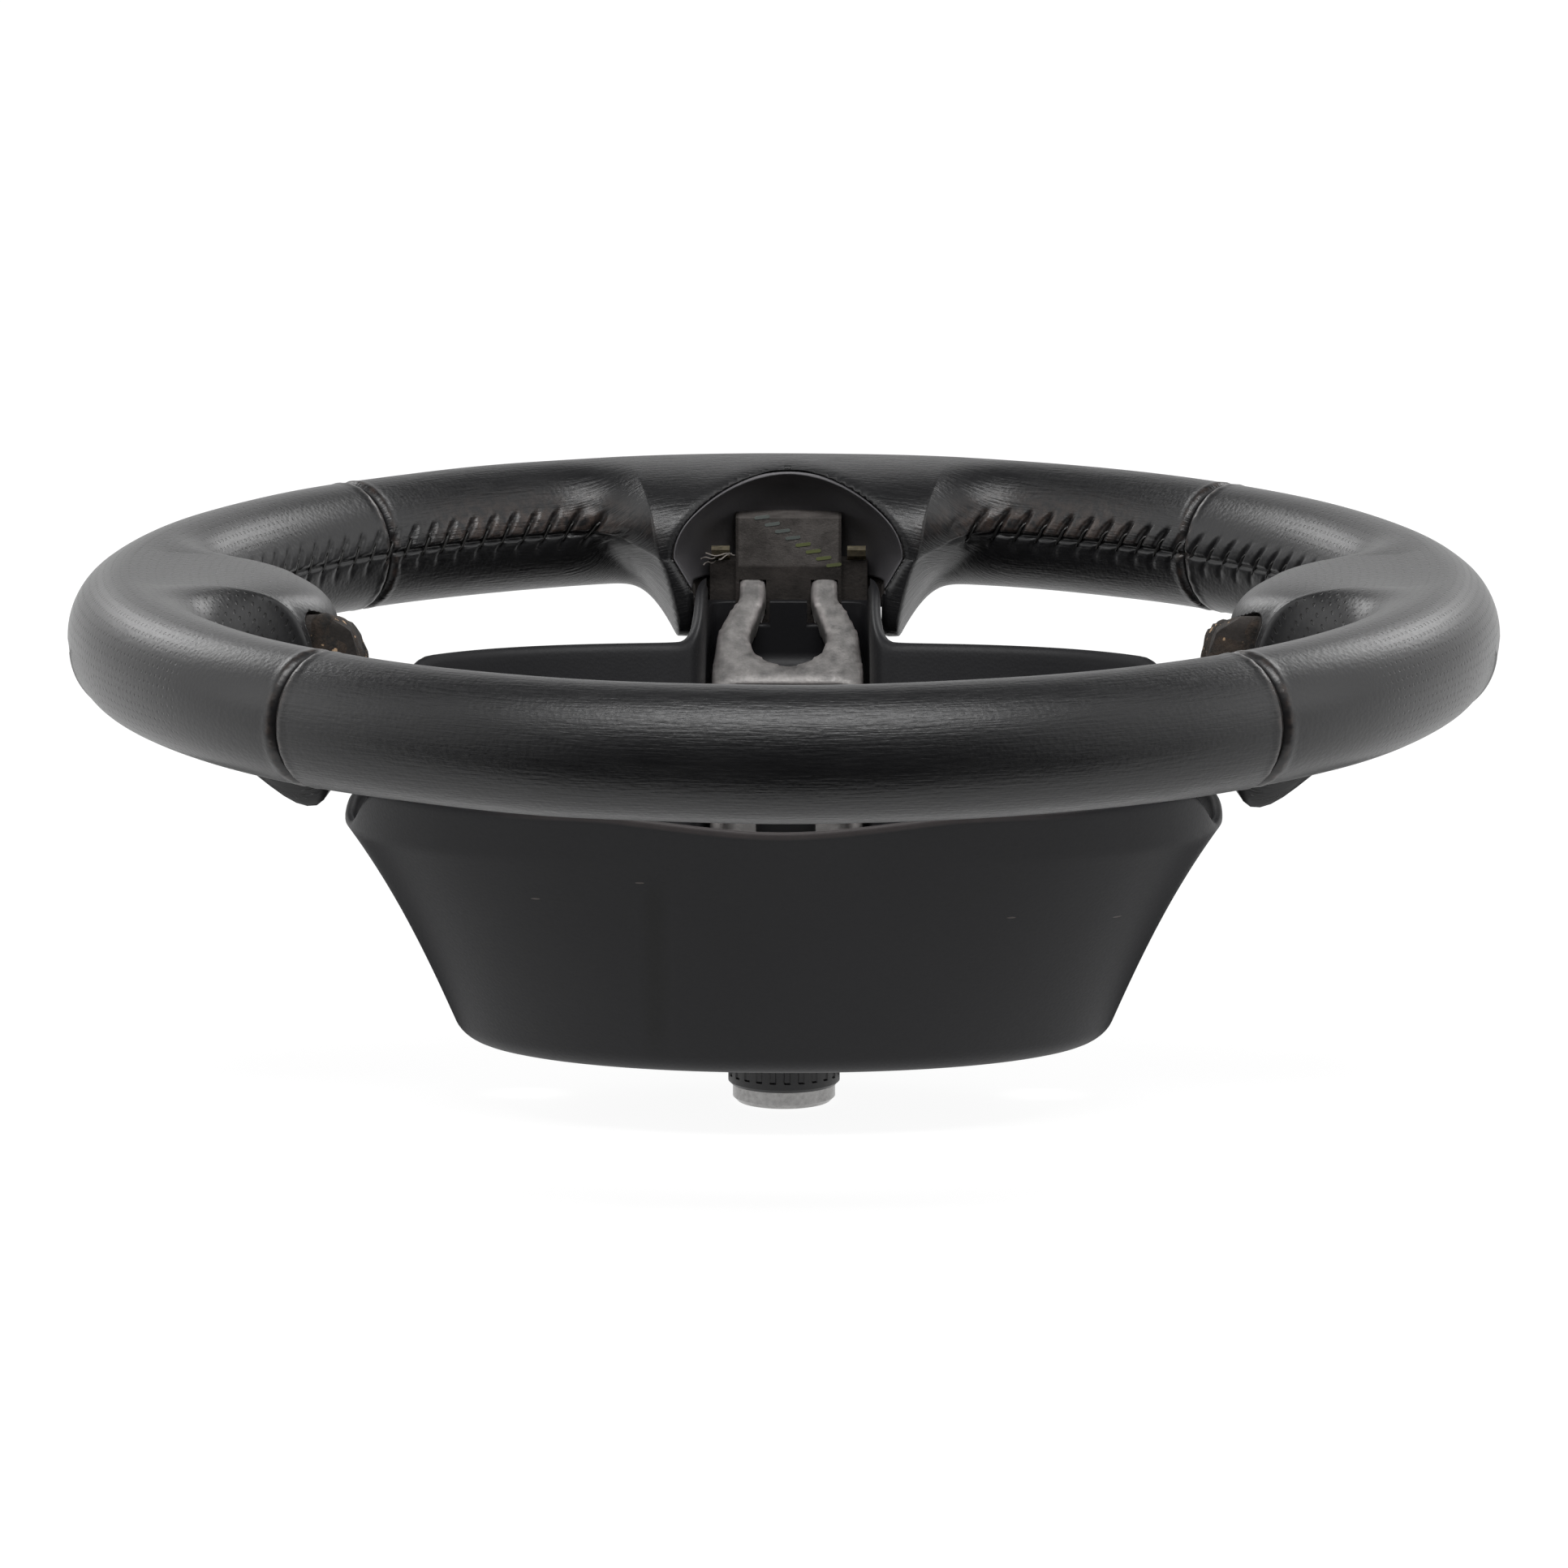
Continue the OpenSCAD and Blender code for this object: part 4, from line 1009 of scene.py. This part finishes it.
COVER_Z, COVER_T, FLOOR_W, COVER_W, FLARE_H, FLOOR_L, LEAN = 17.0, 2.8, 169.0, 230.4, 60.4, 100.0, 0.325
EDGE_NEAR, EDGE_DIP, EDGE_SPOKE, EDGE_FAR, CHANNEL_EDGE = 42.0, 7.0, 46.5, 18.0, 11.0
FORK_T, FORK_GAP, CHANNEL_SQUARE = 8.0, 5.0, 16
FORK_FOOT, FORK_TIP = (38.0, 35.0), (BLOCK_Y, RIM_Z - 13.0)
SLOPE = math.atan2(FORK_TIP[1] - FORK_FOOT[1], FORK_TIP[0] - FORK_FOOT[0])
CHANNEL_DROP = (FORK_T + FORK_GAP) / math.cos(SLOPE) + COVER_T * math.tan(SLOPE)
CHANNEL_Y, CHANNEL_HALF = RING_R - 30.3, RECESS_HALF - 0.3
CHANNEL_START = 20
FOOT_R, INNER_FOOT_R = 5.0, 2.0
LIP_R, WORN_EDGE = 2.2, 2.0
MOUTH_Z, MOUTH_RISE = 108.2, 32
PRONG_Z, PRONG = 101.8, (6.1, 13.4)
MOUTH_BEFORE, MOUTH_BEHIND = CHANNEL_Y - 12, CHANNEL_Y + 2
HUB_HOLE_R = 18.0
SCREW_AT, SCREW_HOLE_R = (26.0, 17.0), 2.3
ACCESS_AT, ACCESS_R = 68.0, 7.0
FLOOR_STEPS = (0, 0.25, 0.5, 0.75)
WALL_STEPS = 56


def bucket_r(a, h, w):
    """Radius of the bucket at the turn a from 6 o'clock and h over its floor, w inside its face."""
    q = np.minimum(h / FLARE_H, 1)
    bulge = 2 + 0.8 * np.minimum(h / FLARE_H, 1.3)
    x = FLOOR_W / 2 + (COVER_W - FLOOR_W) / 2 * (0.83 * q + 0.17 * q**3) - w
    y = FLOOR_L / 2 + LEAN * h - w
    return ((np.abs(np.sin(a)) / x) ** bulge + (np.abs(np.cos(a)) / y) ** bulge) ** (-1 / bulge)


def channel_r(a, h, w):
    """The same for the channel that follows the lower spoke."""
    height = COVER_Z + h + CHANNEL_DROP - FORK_FOOT[1]
    reach = np.minimum(CHANNEL_Y, FORK_FOOT[0] + height / math.tan(SLOPE)) - w
    inside = (reach > CHANNEL_START) & (np.abs(a) < math.radians(80))
    reach = np.maximum(reach, CHANNEL_START)
    n = CHANNEL_SQUARE
    r = ((np.abs(np.sin(a)) / (CHANNEL_HALF - w)) ** n + (np.abs(np.cos(a)) / reach) ** n) ** (-1 / n)
    return np.where(inside, r, 1.0)


def edge_h(angles):
    """Height of the cover's edge over its floor at degrees from 6 o'clock."""
    b = np.abs(angles)
    far = EDGE_FAR + (EDGE_SPOKE - EDGE_FAR) * ramp(b, 58, 20)
    near = EDGE_SPOKE + (EDGE_NEAR - EDGE_DIP - EDGE_SPOKE) * ramp(b, 101, 12)
    near = near + EDGE_DIP * ramp(b, 125, 55) - WORN_EDGE * ramp(b, 130, 20)
    mouth = CHANNEL_EDGE + (far - CHANNEL_EDGE) * ramp(b, 11, 9)
    return RIM_Z - COVER_Z - np.where(b < 90, mouth, near)


def cover_ring(angles, h, w, inset=0.0):
    a = np.radians(angles)
    r = (bucket_r(a, h, w) ** 10 + channel_r(a, h, w) ** 10) ** 0.1 - inset
    return np.stack([r * np.sin(a), r * np.cos(a), COVER_Z + h + 0 * a], 1)


def floor_rings(angles, h, w, inset):
    """Rings of a face of the floor, from the hub's hole out to its rounded corner."""
    hub = cover_ring(angles, h, w)
    hub[:, 0] = HUB_HOLE_R * np.sin(np.radians(angles))
    hub[:, 1] = HUB_HOLE_R * np.cos(np.radians(angles))
    outer = cover_ring(angles, h, w, inset)
    return [hub * (1 - k) + outer * k for k in FLOOR_STEPS]


def cover_holes(piece):
    """Cuts the holes in the floor, and the channel's open end with its two slots for the fork's prongs."""
    low, high = COVER_Z - 2, COVER_Z + COVER_T + 2
    for x in (-1, 1):
        cut(piece, cutter(*cylinder(x * ACCESS_AT, 0.0, ACCESS_R, low, high, 48)))
        for y in (-1, 1):
            place = (x * SCREW_AT[0], y * SCREW_AT[1])
            cut(piece, cutter(*cylinder(*place, SCREW_HOLE_R, low, high, 32)))
    half = CHANNEL_HALF - COVER_T
    cut(piece, cutter(*box((-half, MOUTH_BEFORE, MOUTH_Z), (half, MOUTH_BEHIND, MOUTH_Z + MOUTH_RISE))))
    for x in (-1, 1):
        left, right = sorted((x * (PRONG[0] - 1), x * (PRONG[1] + 1)))
        cut(piece, cutter(*box((left, MOUTH_BEFORE, PRONG_Z), (right, MOUTH_BEHIND, MOUTH_Z + 1))))


def back_cover():
    """The bucket as one wall, with a rounded foot, a rounded edge, its holes and the channel's open end."""
    half = np.concatenate([np.arange(0, 8, 1.0), np.arange(8, 30, 0.35), np.arange(30, 180, 1.25)])
    angles = np.concatenate([-half[:0:-1], half, [180.0]])
    top = edge_h(angles) - LIP_R
    rings = floor_rings(angles, 0.0, 0.0, FOOT_R)
    for k in np.linspace(0, math.pi / 2, 9):
        rings.append(cover_ring(angles, FOOT_R * (1 - math.cos(k)), 0.0, FOOT_R * (1 - math.sin(k))))
    for k in np.linspace(0, 1, WALL_STEPS)[1:]:
        rings.append(cover_ring(angles, FOOT_R + (top - FOOT_R) * k, 0.0))
    lip_start = len(rings)
    for k in np.linspace(0, math.pi, 11)[1:-1]:
        rings.append(cover_ring(angles, top + LIP_R * math.sin(k), COVER_T / 2 * (1 - math.cos(k))))
    lip_end = len(rings)
    for k in np.linspace(1, 0, WALL_STEPS):
        rings.append(cover_ring(angles, COVER_T + (top - COVER_T) * k, COVER_T))
    rings += floor_rings(angles, COVER_T, COVER_T, INNER_FOOT_R)[::-1]
    m, n = len(rings), len(angles)
    last = (m - 1) * n
    closing = [[last + j, j, (j + 1) % n, last + (j + 1) % n] for j in range(n)]
    faces = np.vstack([grid_faces(m, n), closing])
    piece = put("cover_shell", np.vstack(rings), faces, "grained_plastic", "grained_plastic")
    # Marks the rounded lip near the front for its paler paint: wear and painted highlight.
    wear_and_highlight = np.zeros((m, n))
    wear_and_highlight[lip_start:lip_end] = ramp(np.abs(angles), 125, 20)
    add_attribute(piece, "wear_and_highlight", wear_and_highlight)
    cover_holes(piece)
    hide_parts("back_cover")


# The metal frame and the torn foam round the ends of its side spokes

CAST_VOXEL, CAST_UNEVEN = 1.45, 0.16
CORE_VOXEL = 0.8
CORE_X, CORE_HALF, CORE_Z = (108.0, 138.0), 16.2, (86.0, 134.0)


def cast_armature():
    """The armature with the soft edges and the slight unevenness of a casting."""
    piece = node_copy("armature", "armature_casting", "cast_alloy")
    modify(piece, "REMESH", mode="VOXEL", voxel_size=CAST_VOXEL * MM)
    modify(piece, "SMOOTH", factor=0.5, iterations=3)
    applied(piece)
    waves = space_waves(21, 10, 0.9)
    roughened(piece, lambda points: wave_sum(points, waves) / len(waves) * CAST_UNEVEN)
    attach(piece, "wheel")
    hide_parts("armature")


def foam_cores():
    """The torn foam on the side spokes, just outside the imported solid's own face."""
    waves = space_waves(5, 12, 0.8)

    def torn(points):
        rough = wave_sum(points, waves) / len(waves) ** 0.5
        at_end = 1 - ramp(np.abs(points[:, 0]), SIDE_END + 4, 8)
        return (0.45 + 0.75 * np.clip(rough, -0.9, 1.2)) * at_end - 0.3

    for side, name in ((-1, "foam_core_left"), (1, "foam_core_right")):
        piece = node_copy("rim_foam", name, "torn_foam")
        left, right = sorted(side * x for x in CORE_X)
        cut(piece, cutter(*box((left, -CORE_HALF, CORE_Z[0]), (right, CORE_HALF, CORE_Z[1]))), "INTERSECT")
        modify(piece, "REMESH", mode="VOXEL", voxel_size=CORE_VOXEL * MM)
        applied(piece)
        roughened(piece, torn)
        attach(piece, "wheel")


# Hub and screws

BUSH_LOW, BUSH_HIGH = span("spline_bush")
CAM_LOW, CAM_HIGH = span("cancel_cam")
SCREW_LOW, SCREW_HIGH = span("cover_screws")
SPLINES, SPLINE_DEEP, BORE_R = 36, 0.55, 8.78
CAM_RIBS, CAM_RIB_DEEP = 24, 0.35
SOCKET_R, SCREW_HEAD_R, SCREW_R = 1.6, 4.0, 2.0
THREAD_STEP, THREAD_DEEP = 0.35, 0.12


def hub_bush():
    def splined(turn):
        return BORE_R + SPLINE_DEEP * smooth(0.5 + 1.6 * np.sin(SPLINES * turn))

    low, high, outer, mouth = BUSH_LOW[2], BUSH_HIGH[2], BUSH_HIGH[0], BORE_R + 1.6
    rows = [(outer - 1.2, low), (outer, low + 1.2), (outer, high - 1.2), (outer - 1.2, high), (mouth, high),
            (splined, high - 1.5), (splined, (low + high) / 2), (splined, low + 1.5), (mouth, low)]
    piece = put("splined_bush", *turned(rows, SPLINES * 8), "turned_steel", "turned_steel", flat=True)
    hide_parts("spline_bush")


def cam_ring():
    def ribbed(turn):
        return outer - CAM_RIB_DEEP * smooth(np.sin(CAM_RIBS * turn) * 3)

    low, high, outer, inner = CAM_LOW[2], CAM_HIGH[2], CAM_HIGH[1], BUSH_HIGH[0] + 0.02
    rows = [(outer - 0.8, low), (outer, low + 0.8), (outer, low + 2.4), (ribbed, low + 2.8),
            (ribbed, high - 2.8), (outer, high - 2.4), (outer, high - 0.8), (outer - 0.8, high),
            (inner, high), (inner, low)]
    lug_z = high - 3.6
    lug = box((CAM_LOW[0], -2.0, lug_z), (CAM_LOW[0] + 2.4, 2.0, lug_z + 2.6))
    ring = joined([turned(rows, CAM_RIBS * 12), lug])
    piece = put("cam_ring", *ring, "black_plastic", "black_plastic", flat=True)
    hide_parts("cancel_cam")


def socket_screws():
    """Four button screws with a six-sided socket, heads down."""
    low, top = SCREW_LOW[2], SCREW_HIGH[2]
    turn = circle(48)
    six = SOCKET_R / np.cos((turn + math.pi / 6) % (math.pi / 3) - math.pi / 6)
    rows = [(0.01, low + 1.3), (six, low + 1.3), (six, low + 0.1), (six + 0.25, low), (3.2, low),
            (SCREW_HEAD_R, low + 0.9), (SCREW_HEAD_R, low + 2.4), (SCREW_R, low + 2.4)]
    rows += [(SCREW_R - THREAD_DEEP * (k % 2), low + 2.6 + THREAD_STEP * k)
             for k in range(int((top - low - 2.8) / THREAD_STEP))]
    rows += [(1.6, top), (0.01, top)]
    parts = [turned(rows, len(turn), (x * SCREW_AT[0], y * SCREW_AT[1]), closed=False)
             for x in (-1, 1) for y in (-1, 1)]
    piece = put("socket_screws", *joined(parts), "screw_steel", "screw_steel", flat=True)
    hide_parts("cover_screws")


# Horn contacts; heights are measured up from the hub plate's face at POST_Z

POST_Z = 52.0
POSTS = {"left": (-46.0, 0.0), "right": (46.0, 0.0), "lower": (0.0, 52.0)}
CAP_TRAVEL = 2.5
POST_R, HEAD_R, HEAD_Z, HEAD_T, POST_ROOT = 3.0, 5.0, 14.0, 2.0, -8.0
CAP_R, CAP_WALL, RUN_GAP = 8.0, 1.5, 0.05
WEB_TOP, WEB_T = HEAD_Z - 0.3, 3.0
CAP_TOP, CAP_SKIRT = HEAD_Z + HEAD_T + 2, CAP_TRAVEL + 1.5
SPRING_GAP, WIRE_R, COILS, COIL_STEPS = 0.3, 0.5, 5, 181
LATHE_STEPS = 64


def arc_profile(corners):
    """A closed profile of (radius, height) from corners of (radius, height over POST_Z, rounding)."""
    out = []
    n = len(corners)
    points = [np.array([r, POST_Z + z], float) for r, z, _ in corners]
    for i, (point, (_, _, rounding)) in enumerate(zip(points, corners)):
        if rounding == 0:
            out.append(tuple(point))
            continue
        a = points[i - 1] - point
        b = points[(i + 1) % n] - point
        a, b = a / np.linalg.norm(a), b / np.linalg.norm(b)
        for k in np.linspace(0, 1, 5):
            out.append(tuple(point + a * rounding * (1 - k) ** 2 + b * rounding * k**2))
    return out


def guide_post(name, place):
    top = HEAD_Z + HEAD_T
    profile = arc_profile([(0.01, POST_ROOT, 0), (POST_R, POST_ROOT, 0.5), (POST_R, HEAD_Z, 0.3),
                           (HEAD_R, HEAD_Z, 0.3), (HEAD_R, top, 0.6), (0.01, top, 0)])
    piece = put(f"guide_post_{name}", *turned(profile, LATHE_STEPS, place), "post_steel", "post_steel")
    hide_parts(f"horn_post_{name}")


def sliding_cap(name, place):
    bore, inner, mouth, web_low = POST_R + RUN_GAP, CAP_R - CAP_WALL, HEAD_R + 0.3, WEB_TOP - WEB_T
    profile = arc_profile([(bore, web_low, 0), (inner, web_low, 0.4), (inner, CAP_SKIRT, 0.3),
                           (CAP_R, CAP_SKIRT, 0.5), (CAP_R, CAP_TOP, 1.2), (mouth, CAP_TOP, 0.5),
                           (mouth, WEB_TOP, 0.2), (bore, WEB_TOP, 0)])
    lathed = turned(profile, LATHE_STEPS, place)
    piece = put(f"sliding_cap_{name}", *lathed, "cap_plastic", "cap_plastic", f"{name}_cap")
    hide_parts(f"horn_cap_{name}")


def contact_spring(name, place):
    """A coil between the hub plate and the cap's web."""
    foot = POST_Z + SPRING_GAP
    low, high = foot + WIRE_R, POST_Z + WEB_TOP - WEB_T - SPRING_GAP - WIRE_R
    t = np.linspace(0, 1, COIL_STEPS)
    turn, coil_r = 2 * math.pi * COILS * t, POST_R + WIRE_R + SPRING_GAP
    path = np.stack([place[0] + coil_r * np.cos(turn), place[1] + coil_r * np.sin(turn),
                     low + (high - low) * t], 1)
    piece = put(f"contact_spring_{name}", *tube(path, WIRE_R, 10), "spring_steel", "spring_steel")
    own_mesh(piece)
    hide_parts(f"horn_spring_{name}")


def horn_contacts():
    for name, place in POSTS.items():
        guide_post(name, place)
        sliding_cap(name, place)
        contact_spring(name, place)


CLIP_T, CLIP_STEP, CLIP_BEND = 0.8, 3, 1


def brass_clips():
    """Folded strips on the foam block's shoulders, with bevelled bends."""
    for name in ("clip_left", "clip_right"):
        low, high = span(name)
        upright, half, bend = low[1] + CLIP_STEP + CLIP_T / 2, CLIP_T / 2, CLIP_BEND
        line = np.array([(high[1], low[2] + half), (upright + bend, low[2] + half),
                         (upright, low[2] + half + bend), (upright, high[2] - half - bend),
                         (upright - bend, high[2] - half), (low[1], high[2] - half)])
        along = np.gradient(line, axis=0)
        side = np.stack([-along[:, 1], along[:, 0]], 1) / np.linalg.norm(along, axis=1)[:, None]
        outline = np.vstack([line + side * half, (line - side * half)[::-1]])
        near, far = [[(x, y, z) for y, z in outline] for x in (low[0], high[0])]
        piece = put(f"brass_{name}", *prism(near, far, flip=True), "brass", "brass", flat=True)
        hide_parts(name)


recess_lining()
block_marks()
loose_threads()
lacing_thread()
back_cover()
cast_armature()
foam_cores()
hub_bush()
cam_ring()
socket_screws()
horn_contacts()
brass_clips()

# Camera and light, in metres; PHOTO, FOCAL and CENTRE_ROW are pixels of the photo, fitted to its rim

PHOTO = 1932
FOCAL = 16450.0
CENTRE_ROW = 775.6
DISTANCE = 3.5
ELEVATION = math.radians(10.47)
SWING = 0.0085
LAMP_TARGET = Vector((0.0, 0.0, 0.1))
FLOOR_REACH, FLOOR_Z, FLAG_Z = 12.0, -0.0005, 0.001
WORLD_LIGHT, FLOOR_GLOW, GLOW_SHARE, FLOOR_BOUNCE = 0.42, 1.17, 0.8, 0.4


def aim(item, direction):
    item.rotation_euler = direction.to_track_quat("-Z", "Y").to_euler()


def add_camera():
    data = bpy.data.cameras.new("camera")
    data.sensor_width = 36
    data.lens = FOCAL / PHOTO * data.sensor_width
    data.clip_start = 0.1
    data.clip_end = 60
    camera = linked("camera", data)
    heading = Vector((-math.sin(SWING), math.cos(SWING), 0))

    def down(angle):
        return heading * math.cos(angle) - Vector((0, 0, math.sin(angle)))

    camera.location = Vector((0, 0, RIM_Z * MM)) - down(ELEVATION) * DISTANCE
    aim(camera, down(ELEVATION + math.atan((PHOTO / 2 - CENTRE_ROW) / FOCAL)))
    bpy.context.scene.camera = camera


def add_lamp(name, place, size, power):
    data = bpy.data.lights.new(name, "AREA")
    data.shape = "RECTANGLE"
    data.size, data.size_y = size
    data.energy = power
    lamp = linked(name, data)
    lamp.location = place
    aim(lamp, LAMP_TARGET - Vector(place))


def white_to_eye(tree, seen, light, end):
    """Shows seen to camera, glossy and transmission rays, and light to the others."""
    path = tree.nodes.new("ShaderNodeLightPath").outputs
    direct = path["Is Camera Ray"]
    for ray in ("Is Glossy Ray", "Is Transmission Ray"):
        most = tree.nodes.new("ShaderNodeMath")
        most.operation = "MAXIMUM"
        tree.links.new(direct, most.inputs[0])
        tree.links.new(path[ray], most.inputs[1])
        direct = most.outputs[0]
    mix = tree.nodes.new("ShaderNodeMixShader")
    for socket, source in zip(mix.inputs, (direct, light.outputs[0], seen.outputs[0])):
        tree.links.new(source, socket)
    tree.links.new(mix.outputs[0], end.inputs[0])


def stage_panel(name, corners, colour, hidden=True, mirrored_only=False):
    """A flat panel of the stage; a hidden one isn't seen by the camera, and may be there for gloss alone."""
    mesh = bpy.data.meshes.new(name)
    mesh.from_pydata(corners, [], [[0, 1, 2, 3]])
    p = Paint(name, (colour,) * 3, 0.9)
    p.fix("Specular IOR Level", 0.0)
    mesh.materials.append(p.material)
    panel = linked(name, mesh)
    panel.visible_camera = not hidden
    panel.visible_shadow = not mirrored_only
    panel.visible_diffuse = not mirrored_only
    panel.visible_transmission = not mirrored_only
    return p


def flat_corners(near_half, near_y, far_half, far_y, z):
    return [(-near_half, near_y, z), (near_half, near_y, z), (far_half, far_y, z), (-far_half, far_y, z)]


def add_world():
    world = bpy.data.worlds.new("world")
    bpy.context.scene.world = world
    world.use_nodes = True
    tree = world.node_tree
    light = tree.nodes["Background"]
    light.inputs[0].default_value = (1, 1, 1, 1)
    light.inputs[1].default_value = WORLD_LIGHT
    seen = tree.nodes.new("ShaderNodeBackground")
    seen.inputs[1].default_value = 1.0
    white_to_eye(tree, seen, light, tree.nodes["World Output"])


def add_floor():
    """A pale floor that keeps the shadow, and returns less light to the wheel than to the eye."""
    corners = flat_corners(FLOOR_REACH, -FLOOR_REACH, FLOOR_REACH, FLOOR_REACH, FLOOR_Z)
    p = stage_panel("floor", corners, 0.8, hidden=False)
    glow = p.node("Emission", _1=FLOOR_GLOW)
    blend = p.node("MixShader", _0=GLOW_SHARE, _1=p.shader.outputs[0], _2=glow.outputs[0])
    bounce = p.node("BsdfDiffuse", _0=(*(FLOOR_BOUNCE,) * 3, 1))
    white_to_eye(p.tree, blend, bounce, p.tree.nodes["Material Output"])


def add_stage():
    """Dark flags and a ceiling, which the wheel mirrors in place of the white round it, and the lamps."""
    stage_panel("floor_flag", flat_corners(1.6, -2.4, 0.7, -0.28, FLAG_Z), 0.01, mirrored_only=True)
    stage_panel("under_flag", flat_corners(0.2, 0.02, 0.2, 0.17, FLAG_Z), 0.01, mirrored_only=True)
    front = [(-2.2, -2.4, 0.0), (2.2, -2.4, 0.0), (2.2, -2.4, 1.7), (-2.2, -2.4, 1.7)]
    stage_panel("front_flag", front, 0.01)
    stage_panel("ceiling", flat_corners(2.0, -0.2, 2.0, 3.0, 2.6), 0.1)
    add_lamp("strip", (0, -0.9, 2.0), (1.7, 0.5), 28)
    for side in (-1, 1):
        add_lamp("side_box", (side * 2.2, -0.2, 1.0), (1.2, 1.4), 5)
        add_lamp("back_box", (side * 1.7, 2.3, 1.8), (1.2, 1.2), 20)


add_camera()
add_world()
add_floor()
add_stage()
bpy.context.scene.view_settings.view_transform = "Standard"
